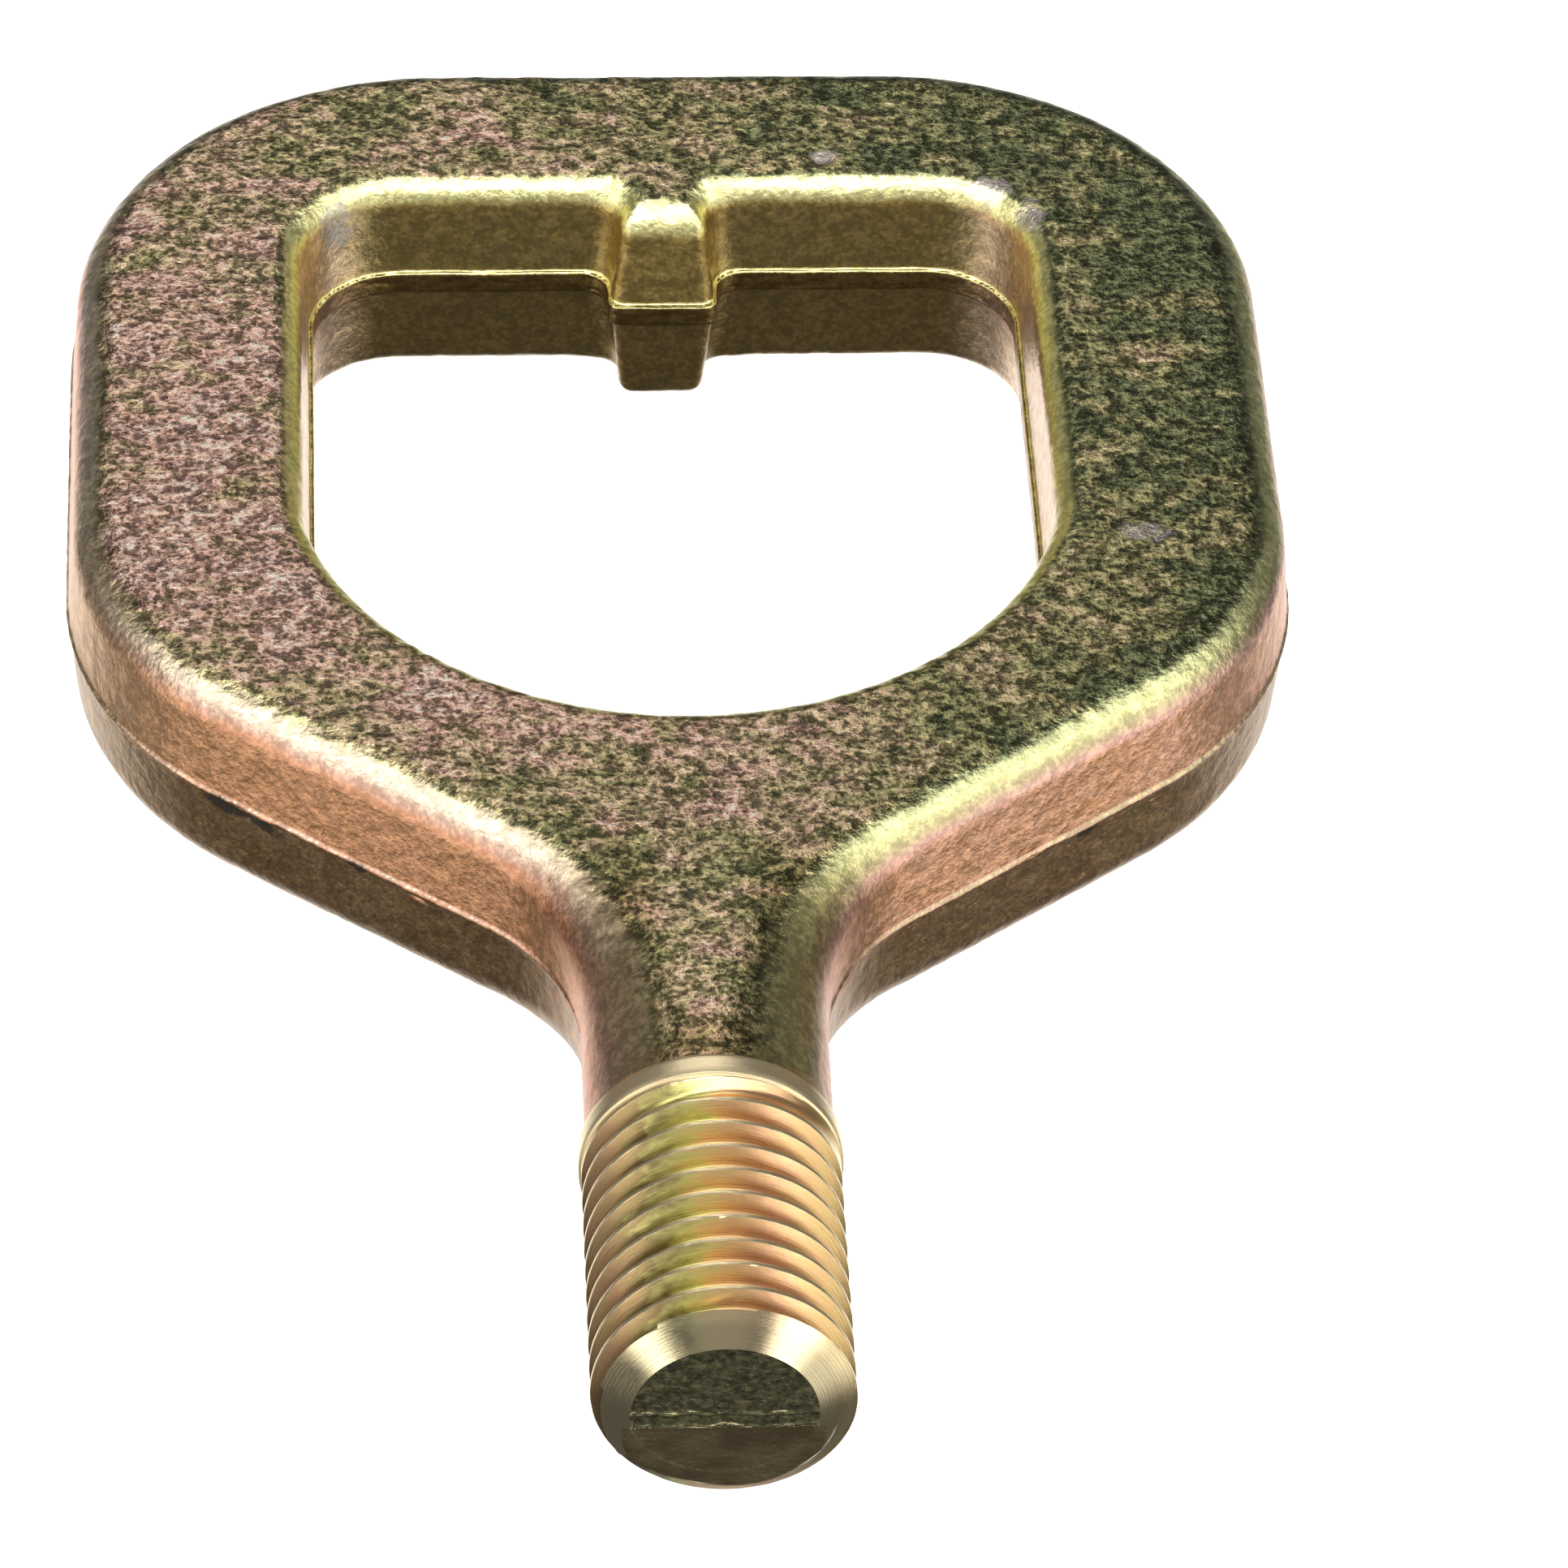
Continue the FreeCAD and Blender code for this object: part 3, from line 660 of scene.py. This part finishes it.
# ---- materials -----------------------------------------------
class Graph:
    """Short ways to add nodes to a material's or world's empty node tree."""

    def __init__(self, owner):
        owner.use_nodes = True
        self.tree = owner.node_tree
        self.tree.nodes.clear()
        self.coordinates = self.add("ShaderNodeTexCoord").outputs

    def add(self, kind, **settings):
        node = self.tree.nodes.new(kind)
        for key, value in settings.items():
            setattr(node, key, value)
        return node

    def feed(self, socket, value):
        if isinstance(value, bpy.types.NodeSocket):
            self.tree.links.new(value, socket)
        else:
            socket.default_value = value

    def vector(self, operation, a, b):
        node = self.add("ShaderNodeVectorMath", operation=operation)
        self.feed(node.inputs[0], a)
        self.feed(node.inputs[1], b)
        return node.outputs[0]

    def maths(self, operation, a, b=0.0):
        node = self.add("ShaderNodeMath", operation=operation)
        self.feed(node.inputs[0], a)
        self.feed(node.inputs[1], b)
        return node.outputs[0]

    def total(self, *terms):
        """Sum of (socket, factor) pairs and plain numbers."""
        result = None
        for term in terms:
            part = self.maths("MULTIPLY", *term) if isinstance(term, tuple) else term
            result = part if result is None else self.maths("ADD", result, part)
        return result

    def product(self, first, *others):
        for other in others:
            first = self.maths("MULTIPLY", first, other)
        return first

    def away(self, place, middle, reach):
        """Distance from a middle, as a share of the reach along each axis."""
        node = self.add("ShaderNodeVectorMath", operation="LENGTH")
        self.feed(node.inputs[0], self.vector("DIVIDE", self.vector("SUBTRACT", place, middle), reach))
        return node.outputs["Value"]

    def step(self, value, low, high, out_low=0.0, out_high=1.0):
        node = self.add("ShaderNodeMapRange", interpolation_type="SMOOTHSTEP")
        self.feed(node.inputs["Value"], value)
        bounds = {"From Min": low, "From Max": high, "To Min": out_low, "To Max": out_high}
        for name, number in bounds.items():
            node.inputs[name].default_value = number
        return node.outputs["Result"]

    def finish(self, shader, output, **sockets):
        """Add the shader with its named sockets fed, and the tree's output."""
        node = self.add(shader)
        for name, value in sockets.items():
            self.feed(node.inputs[name.replace("_", " ").title()], value)
        self.tree.links.new(node.outputs[0], self.add(output).inputs[0])


class Nodes(Graph):
    """The nodes of one material, with lengths in millimetres."""

    def __init__(self, name):
        self.material = bpy.data.materials.new(name)
        super().__init__(self.material)
        self.place = self.vector("MULTIPLY", self.coordinates["Object"], (1 / MM,) * 3)
        self.normal = self.coordinates["Normal"]

    def axes(self, vector):
        node = self.add("ShaderNodeSeparateXYZ")
        self.feed(node.inputs[0], vector)
        return tuple(node.outputs)

    def noise(self, size, stretch=(1, 1, 1), detail=3.0, rough=0.55, warp=0.0, shift=0.0):
        """Noise with features of about this size in millimetres, from 0 to 1."""
        place = self.vector("DIVIDE", self.place, tuple(size * k for k in stretch))
        place = self.vector("ADD", place, (shift,) * 3)
        node = self.add("ShaderNodeTexNoise")
        self.feed(node.inputs["Vector"], place)
        node.inputs["Scale"].default_value = 1.0
        node.inputs["Detail"].default_value = detail
        node.inputs["Roughness"].default_value = rough
        node.inputs["Distortion"].default_value = warp
        return node.outputs["Fac"]

    def ramp(self, value, *stops):
        """Colour ramp through (position, colour) stops."""
        node = self.add("ShaderNodeValToRGB")
        self.feed(node.inputs[0], value)
        elements = node.color_ramp.elements
        while len(elements) < len(stops):
            elements.new(1.0)
        for element, (position, colour) in zip(elements, stops):
            element.position = position
            element.color = (*colour, 1)
        return node.outputs["Color"]

    def mix(self, share, a, b, blend="MIX"):
        node = self.add("ShaderNodeMix", data_type="RGBA", blend_type=blend)
        self.feed(node.inputs[0], share)
        for socket, value in ((node.inputs[6], a), (node.inputs[7], b)):
            self.feed(socket, value if isinstance(value, bpy.types.NodeSocket) else (*value, 1))
        return node.outputs[2]

    def scaled(self, colour, factor):
        node = self.add("ShaderNodeVectorMath", operation="SCALE")
        self.feed(node.inputs[0], colour)
        self.feed(node.inputs["Scale"], factor)
        return node.outputs[0]

    def marks(self, places, warp):
        """One in the middle of each (middle, reach) mark and nothing at its ragged outline."""
        result = 0.0
        for middle, reach in places:
            away = self.total(self.away(self.place, middle, reach), (warp, 1.6), -0.8)
            result = self.maths("MAXIMUM", result, self.step(away, 1.0, 0.55))
        return result

    def bump(self, height, distance):
        """Bump whose height is in units of distance, in millimetres."""
        node = self.add("ShaderNodeBump")
        node.inputs["Strength"].default_value = 1.0
        node.inputs["Distance"].default_value = distance * MM
        self.feed(node.inputs["Height"], height)
        return node.outputs[0]

    def done(self, **sockets):
        """The material, whose shader has these named sockets."""
        self.finish("ShaderNodeBsdfPrincipled", "ShaderNodeOutputMaterial", **sockets)
        return self.material


# colours of the passivated film, linear
DARK_GREEN = (0.22, 0.24, 0.115)
OLIVE = (0.47, 0.41, 0.19)
TAN = (0.70, 0.53, 0.31)
PINK = (0.90, 0.54, 0.41)
PALE_PINK = (0.96, 0.64, 0.52)
ORANGE = (0.80, 0.42, 0.20)
SALMON = (0.88, 0.44, 0.26)
ROSE = (0.94, 0.62, 0.46)
CREAM_HIGHLIGHT = (0.93, 0.77, 0.58)
STRAW = (0.86, 0.70, 0.44)
OCHRE = (0.66, 0.50, 0.26)
DUSTY_PINK = (0.80, 0.48, 0.38)
KHAKI = (0.74, 0.60, 0.34)
YELLOW_GREEN_HIGHLIGHT = (0.80, 0.78, 0.36)
MOSS = (0.66, 0.66, 0.34)
BROWN = (0.40, 0.235, 0.105)
LIGHT_BROWN = (0.50, 0.33, 0.16)
OLIVE_GOLD = (0.60, 0.47, 0.18)
SHADED_GOLD = (0.46, 0.32, 0.12)
ROSE_GOLD = (0.86, 0.62, 0.42)
YELLOW_HIGHLIGHT = (1.0, 0.93, 0.44)
BAND_TINT = (0.42, 0.33, 0.25)
NECK_TINT = (0.62, 0.50, 0.38)
GREY = (0.40, 0.39, 0.36)
PALE_RUB = (0.90, 0.74, 0.72)
SCALE = (0.05, 0.05, 0.045)

UMBER = (0.28, 0.15, 0.08)
DEEP_OLIVE = (0.24, 0.18, 0.07)
LIME_GOLD = (0.84, 0.78, 0.27)
AMBER = (1.00, 0.64, 0.28)
COPPER = (0.74, 0.42, 0.23)
OLD_GOLD = (0.72, 0.49, 0.20)
FLANK_GOLD = (0.97, 0.72, 0.36)
PALE_GOLD = (0.92, 0.80, 0.50)
WORN_CREST = (1.0, 0.82, 0.50)
SHEARED_DARK, SHEARED_LIGHT = (0.10, 0.11, 0.06), (0.34, 0.30, 0.16)
HEEL_DARK, HEEL_LIGHT = (0.26, 0.19, 0.10), (0.38, 0.29, 0.16)

# marks on the forging: middle and reach along x, y and z, mm
SCALE_MARKS = (((-36.8, 42.2, -0.6), (3.6, 3.0, 1.0)), ((-33.6, 40.0, -0.9), (1.6, 1.6, 0.9)),
               ((-26.4, 34.6, -0.3), (1.6, 1.4, 0.6)), ((31.5, 38.2, -0.6), (1.8, 1.6, 0.5)),
               ((-1.0, 20.4, 9.6), (0.8, 1.0, 0.8)))
SCUFFS = (((-27.0, 105.5, 7.5), (2.0, 3.4, 3.6)), ((-25.6, 101.8, 6.4), (1.6, 2.6, 2.4)))
RUBS = (((27.2, 108.6, 9.0), (2.2, 1.6, 1.4)), ((30.6, 105.0, 9.0), (1.4, 2.6, 1.4)),
        ((14.0, 113.0, 9.4), (1.5, 1.0, 1.0)), ((37.0, 63.2, 9.4), (2.4, 1.3, 1.0)))


class ForgedSkin(Nodes):
    """Shot-blasted forging skin under yellow passivation, with its drifting film colours."""

    def __init__(self):
        super().__init__("forged_steel")
        self.x, self.y, self.z = self.axes(self.place)
        self.facing = self.axes(self.normal)[2]
        self.slope = self.maths("ABSOLUTE", self.facing)
        self.reach_x = self.maths("ABSOLUTE", self.x)
        self.height = self.maths("ABSOLUTE", self.z)
        self.broad = self.noise(17, detail=2, shift=3.1)
        self.patch = self.noise(4.2, (1.4, 0.8, 1), detail=5, rough=0.66, warp=0.6)
        self.chips = self.noise(1.25, (1.1, 0.95, 1), warp=0.25, shift=6.3)
        self.grain = self.noise(0.46, (1.05, 1, 1))
        self.speck = self.noise(0.20, detail=2, rough=0.5, shift=8.0)
        self.underside = self.step(self.facing, 0.02, -0.05)
        self.neck = self.step(self.total((self.y, 1.0), (self.patch, 9.0)), 34.0, 24.0)

    def face_film(self):
        """The two faces: dark green to pink, pinker towards the left limb and greener along the flanks."""
        along_flank = self.total((self.y, FLANK_COS), (self.reach_x, -FLANK_SIN), -FLANK_APEX_Y * FLANK_COS)
        side = self.total((self.x, -0.0072), (self.y, -0.0036), (self.slope, 3.2), -2.82,
                          (self.step(along_flank, 11.0, 3.5), -0.24))
        tint = self.total((self.broad, 0.70), (self.patch, 1.60), (self.chips, 0.50), (self.grain, 0.26),
                          side, -1.12)
        return self.ramp(tint, (0.12, DARK_GREEN), (0.38, OLIVE), (0.58, TAN), (0.78, PINK), (1.0, PALE_PINK))

    def wall_film_and_painted_light(self):
        """Roundings and outer walls: the film's colour turns with the surface, and differs left and right.
        The pale bands on the upper roundings are painted highlight, and the browns on the walls that face
        down are painted shade.
        """
        turn = self.total((self.slope, 1.0), (self.patch, 0.22), (self.broad, 0.22), (self.grain, 0.10),
                          -0.27)
        # Cream and straw where the left roundings turn up: painted highlight over the film's colour
        left = self.ramp(turn, (0.00, ORANGE), (0.30, SALMON), (0.48, ROSE), (0.68, CREAM_HIGHLIGHT), (0.90, STRAW))
        left = self.mix(self.step(self.total((self.x, 1.0), (self.y, 0.25)), -26.0, -40.0), left, OCHRE)
        # Yellow-green and moss where the right roundings turn up: painted highlight over the film's colour
        right = self.ramp(turn, (0.00, ORANGE), (0.28, DUSTY_PINK), (0.48, KHAKI), (0.70, YELLOW_GREEN_HIGHLIGHT),
                          (0.90, MOSS))
        upper = self.mix(self.step(self.x, -12, 12), left, right)
        # Painted shade: browns on the walls below the parting plane, which face down
        lower = self.mix(self.step(self.patch, 0.3, 0.7), BROWN, LIGHT_BROWN)
        return self.mix(self.underside, upper, lower)

    def with_opening(self, colour):
        """Inside of the aperture: yellow roundings over plainer olive gold walls, and a darker band. The
        bright yellow on the roundings that face up is painted highlight, and the darker gold on the walls
        that face down is painted shade.
        """
        middle_y = (OPENING_FAR_Y + OPENING_ARC_Y - OPENING_ARC_R) / 2
        half_y = (OPENING_FAR_Y - OPENING_ARC_Y + OPENING_ARC_R) / 2
        reach_y = self.maths("ABSOLUTE", self.maths("SUBTRACT", self.y, middle_y))
        inside = self.product(self.step(self.reach_x, OPENING_HALF_W + 2.6, OPENING_HALF_W + 1.8),
                              self.step(reach_y, half_y + 3.2, half_y + 2.2))
        # Painted shade: darker gold on the inner walls that face down
        gold = self.mix(self.underside, OLIVE_GOLD, SHADED_GOLD)
        gold = self.mix(self.step(self.reach_x, OPENING_HALF_W - 6, OPENING_HALF_W + 0.2), gold, ROSE_GOLD)
        # Painted highlight: bright yellow on the inner roundings that face up
        gold = self.mix(self.step(self.facing, 0.20, 0.55), gold, YELLOW_HIGHLIGHT)
        colour = self.mix(self.product(inside, self.step(self.slope, 0.96, 0.86)), colour, gold)
        band = self.product(inside, self.step(self.height, BAND_HALF + 0.05, BAND_HALF - 0.2), 0.8)
        return self.mix(band, colour, BAND_TINT, "MULTIPLY")

    def with_neck(self, colour):
        """The neck's sides, and all of it next to the turned land, are darker and browner; on its sides this
        is painted shade, leaving the middle strip lighter.
        """
        flank = self.maths("MAXIMUM", self.step(self.reach_x, 2.0, 6.0), self.step(self.y, 9.0, 3.5))
        return self.mix(self.product(self.neck, flank, 0.6), colour, NECK_TINT, "MULTIPLY")

    def with_grain_shade_and_glints(self, colour):
        """Painted glints on the crests of the grain and painted shade in its pits, at full strength on the
        faces and weaker on the walls.
        """
        lively = self.step(self.slope, 0.80, 0.98, 0.35, 1.0)
        shade = self.step(self.total((self.grain, 0.52), (self.chips, 0.50)), 0.42, 0.64, -0.78, 0.38)
        glint = self.step(self.total((self.speck, 1.0), (self.grain, 0.3)), 0.66, 0.86, 0.0, 0.32)
        return self.scaled(colour, self.total((self.total(shade, glint), lively), 1.0))

    def scale_left(self):
        """Share of dark scale: patches along the parting line, and a few marks."""
        line = self.product(self.step(self.height, 1.1, 0.2), self.step(self.slope, 0.75, 0.25))
        flakes = self.noise(2.6, (1, 1, 0.45), detail=4, rough=0.7, shift=5.5)
        patches = self.product(self.step(flakes, 0.66, 0.74), 0.5, line)
        return self.maths("MAXIMUM", patches, self.marks(SCALE_MARKS, self.ragged()))

    def ragged(self):
        return self.noise(1.1, detail=4, rough=0.7, shift=12.0)

    def with_wear(self, colour, dark):
        """Grey scuffs, pale rubbed spots and dark scale."""
        specks = self.step(self.total((self.chips, 0.6), (self.grain, 0.5)), 0.62, 0.70, 0.0, 0.8)
        grey = self.mix(specks, GREY, SCALE)
        colour = self.mix(self.product(self.marks(SCUFFS, self.ragged()), 0.75), colour, grey)
        colour = self.mix(self.product(self.marks(RUBS, self.chips), 0.45), colour, PALE_RUB)
        return self.mix(self.product(dark, 0.9), colour, SCALE)

    def build(self):
        flat = self.step(self.total((self.slope, 1.0), (self.grain, 0.08), (self.patch, 0.16)), 0.95, 1.09)
        colour = self.mix(flat, self.wall_film_and_painted_light(), self.face_film())
        colour = self.with_grain_shade_and_glints(self.with_neck(self.with_opening(colour)))
        dark = self.scale_left()
        roughness = self.total((self.grain, 0.16), (self.speck, 0.10), (self.patch, 0.08),
                               (self.step(self.slope, 0.99, 0.85), 0.05), (dark, 0.3), 0.14)
        relief = self.total((self.grain, 0.66), (self.speck, 0.22), (self.chips, 0.90))
        kept = self.total((self.step(self.slope, 0.97, 0.80), -0.62), (self.neck, -0.25), 1.0)
        return self.done(base_color=self.with_wear(colour, dark), roughness=roughness, metallic=1.0,
                         normal=self.bump(self.product(relief, kept), 0.24))


class MachinedSkin(Nodes):
    """Turned and thread-cut steel under a thin yellow film."""

    def __init__(self):
        super().__init__("machined_steel")
        self.x, self.y, self.z = self.axes(self.place)
        self.radius = self.maths("SQRT", self.total((self.x, self.x), (self.z, self.z)))
        self.drift = self.noise(2.2, (1.4, 0.35, 1.4), rough=0.6, warp=0.4)
        self.fine = self.noise(0.22, (2.2, 0.35, 2.2), rough=0.6)
        chamfer_top = TIP_Y + CHAMFER_LEN
        self.chamfer = self.step(self.y, chamfer_top + 0.2, chamfer_top - 0.2)
        self.threaded = self.product(self.step(self.y, chamfer_top, chamfer_top + 0.2),
                                     self.step(self.y, 0.2, 0.0))
        self.on_land = self.step(self.y, -0.1, 0.1)
        along = self.axes(self.normal)[1]
        self.end = self.product(self.step(along, -0.90, -0.965), self.step(self.y, TIP_Y + 2.6, TIP_Y + 2.2))

    def film(self):
        """Brown and olive through yellow green and orange to gold across the thread, with painted shade
        darkening each root and gold towards each crest; bare, worn crests.
        """
        broad = self.noise(6, detail=2, shift=1.7)
        across = self.total((self.x, 0.050), (self.drift, 0.42), (broad, 0.30), 0.16)
        film = self.ramp(across, (0.02, UMBER), (0.25, DEEP_OLIVE), (0.39, LIME_GOLD), (0.49, AMBER),
                         (0.72, COPPER), (0.92, OLD_GOLD))
        # Painted shading across each flank: golder towards the crest, darker down in the root
        film = self.mix(self.step(self.radius, ROOT_R + 0.5, CREST_R, 0.0, 0.18), film, FLANK_GOLD)
        film = self.scaled(film, self.step(self.radius, ROOT_R - 0.05, ROOT_R + 0.85, 0.42, 1.08))
        film = self.mix(self.product(self.chamfer, 0.6), film, PALE_GOLD)
        bare = self.step(self.radius, CREST_R - 0.07, CREST_R + 0.01)
        return self.mix(bare, film, WORN_CREST)

    def sheared(self):
        """The end inside the chamfer: dark and grainy above the heel, smooth below."""
        grainy = self.step(self.noise(0.7, detail=5, rough=0.7), 0.35, 0.68)
        upper = self.mix(grainy, SHEARED_DARK, SHEARED_LIGHT)
        lower = self.mix(self.step(self.drift, 0.3, 0.7), HEEL_DARK, HEEL_LIGHT)
        return self.mix(self.step(self.z, HEEL_TOP_Z + 0.2, HEEL_TOP_Z - 0.1), upper, lower)

    def turning_marks(self):
        """Fine rings left by the tool, as noise that varies only along the axis and the radius."""
        rings = self.add("ShaderNodeCombineXYZ")
        self.feed(rings.inputs[0], self.product(self.y, 9.0))
        self.feed(rings.inputs[1], self.product(self.radius, 9.0))
        turning = self.add("ShaderNodeTexNoise")
        self.feed(turning.inputs["Vector"], rings.outputs[0])
        turning.inputs["Scale"].default_value = 1.0
        turning.inputs["Detail"].default_value = 4.0
        height = self.total((turning.outputs["Fac"], 1.0), (self.fine, 0.5))
        return self.product(height, self.total((self.threaded, 0.010), (self.on_land, 0.012), 0.008))

    def build(self):
        roughness = self.total((self.fine, 0.18), (self.drift, 0.10), (self.end, 0.28),
                               (self.threaded, 0.14), (self.on_land, 0.16), 0.05)
        rough_end = self.product(self.end, self.noise(0.5, detail=4, rough=0.65, shift=4.0))
        relief = self.bump(self.total(self.turning_marks(), (rough_end, 0.16)), 1.0)
        colour = self.mix(self.end, self.film(), self.sheared())
        return self.done(base_color=colour, roughness=roughness, metallic=1.0, normal=relief)


# ---- stage ---------------------------------------------------
CAMERA_ELEVATION_DEG = 41.41
CAMERA_YAW_DEG = 3.99
CAMERA_ROLL_DEG = 2.11
CAMERA_DISTANCE = 716.8                 # from the aim, mm
CAMERA_AIM = (7.5, 43.85, 0.0)
CAMERA_LENS = 207.76
SENSOR = 36.0


def make_camera():
    """Camera that looks down at the upper face from beyond the stud's tip."""
    e, a, r = (math.radians(v) for v in (CAMERA_ELEVATION_DEG, CAMERA_YAW_DEG, CAMERA_ROLL_DEG))
    forward = Vector((0, math.cos(e), -math.sin(e)))
    up = Vector((0, math.sin(e), math.cos(e)))
    side = Vector((1, 0, 0))
    right = math.cos(r) * side + math.sin(r) * up
    up = math.cos(r) * up - math.sin(r) * side
    turn = Matrix.Rotation(-a, 3, "Z")
    right, up, forward = turn @ right, turn @ up, turn @ forward
    data = bpy.data.cameras.new("camera")
    data.sensor_width = SENSOR
    data.lens = CAMERA_LENS
    data.clip_start, data.clip_end = 0.01, 20
    camera = bpy.data.objects.new("camera", data)
    bpy.context.scene.collection.objects.link(camera)
    matrix = Matrix((right, up, -forward)).transposed().to_4x4()
    matrix.translation = (Vector(CAMERA_AIM) - forward * CAMERA_DISTANCE) * MM
    camera.matrix_world = matrix
    bpy.context.scene.camera = camera


def area_light(name, place, target, size, power):
    """Rectangular light at a place in metres, turned to a target."""
    data = bpy.data.lights.new(name, "AREA")
    data.shape = "RECTANGLE"
    data.size, data.size_y = size
    data.energy = power
    light = bpy.data.objects.new(name, data)
    light.location = place
    light.rotation_euler = (Vector(target) - Vector(place)).to_track_quat("-Z", "Y").to_euler()
    bpy.context.scene.collection.objects.link(light)


FLOOR_GAP = 0.05           # keeps the floor clear of the object's lowest point
FLOOR_REACH = 6000.0
FLOOR_GLOW = 1.0           # an evenly lit white sweep


def make_floor():
    """Pale floor just under the object's lowest point."""
    low = cad_low.z / MM - FLOOR_GAP
    grid = np.linspace(-FLOOR_REACH, FLOOR_REACH, 5)
    points = [(x, y, low) for y in grid for x in grid]
    corner = np.array([i * len(grid) + j for i in range(len(grid) - 1) for j in range(len(grid) - 1)])
    floor = to_mesh("floor", points, np.stack([corner, corner + 1, corner + len(grid) + 1,
                                               corner + len(grid)], 1))
    n = Nodes("pale_floor")
    shade = n.ramp(n.noise(400.0), (0.3, (0.88, 0.88, 0.88)), (0.7, (0.92, 0.92, 0.92)))
    floor.data.materials.append(n.done(base_color=shade, roughness=0.9, emission_color=(1, 1, 1, 1),
                                       emission_strength=FLOOR_GLOW))
    floor.visible_glossy = False


AMBIENT = 0.13
SOFTBOX_CORE = 0.45        # share of a softbox's reach that is evenly bright
SOFTBOXES = (              # direction of the middle, reach along x, y and z, and brightness added
    ((0.00, -0.40, 0.91), (0.80, 0.58, 0.50), 3.0),        # large softbox overhead, towards the front
    ((-0.78, -0.22, 0.58), (0.50, 0.48, 0.50), 2.1),       # its two wings
    ((0.78, -0.22, 0.58), (0.50, 0.48, 0.50), 2.1),
    ((-0.88, -0.32, -0.20), (0.44, 0.50, 0.50), 1.15),     # low reflectors at both sides
    ((0.86, -0.36, -0.20), (0.50, 0.60, 0.52), 1.40),
    ((0.54, -0.84, 0.02), (0.20, 0.40, 0.36), 3.00),       # tall softbox at the front right
    ((-0.57, -0.82, 0.05), (0.18, 0.40, 0.32), 3.60),      # and a narrow one at the front left
    ((0.00, -0.95, 0.30), (0.40, 0.40, 0.42), 0.22),       # dim middle, between them
    ((0.00, 0.75, -0.70), (1.10, 0.70, 0.55), 1.60),       # white sheet behind and below
)


def make_world():
    """Studio surroundings: dim all round, with a soft-edged light in each of SOFTBOXES."""
    world = bpy.data.worlds.new("studio")
    bpy.context.scene.world = world
    graph = Graph(world)
    total = AMBIENT
    for middle, reach, brightness in SOFTBOXES:
        away = graph.away(graph.coordinates["Generated"], middle, reach)
        total = graph.maths("ADD", total, graph.step(away, 1.0, SOFTBOX_CORE, 0.0, brightness))
    graph.finish("ShaderNodeBackground", "ShaderNodeOutputWorld", color=total)


def colour_management():
    settings = bpy.context.scene.view_settings
    settings.view_transform = "Standard"
    settings.look = "None"
    settings.exposure = 0.0
    settings.gamma = 1.0


def main():
    colour_management()
    make_camera()
    make_world()
    make_floor()
    area_light("overhead", (-0.05, -0.30, 0.85), (0, 0.06, 0), (0.5, 0.30), 0.5)
    area_light("behind", (-0.04, 0.43, 0.40), (0, 0, 0), (0.34, 0.10), 0.34)

    eye = forged_eye()
    eye.data.materials.append(ForgedSkin().build())
    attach(eye, "root")
    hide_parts("crown_bar", "left_crown_corner", "right_crown_corner", "left_limb", "right_limb",
                "left_shoulder", "right_shoulder", "crotch_web", "centre_tooth", "neck")

    stud = machined_stud()
    stud.data.materials.append(MachinedSkin().build())
    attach(stud, "root")
    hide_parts("turned_land", "threaded_shank")


main()
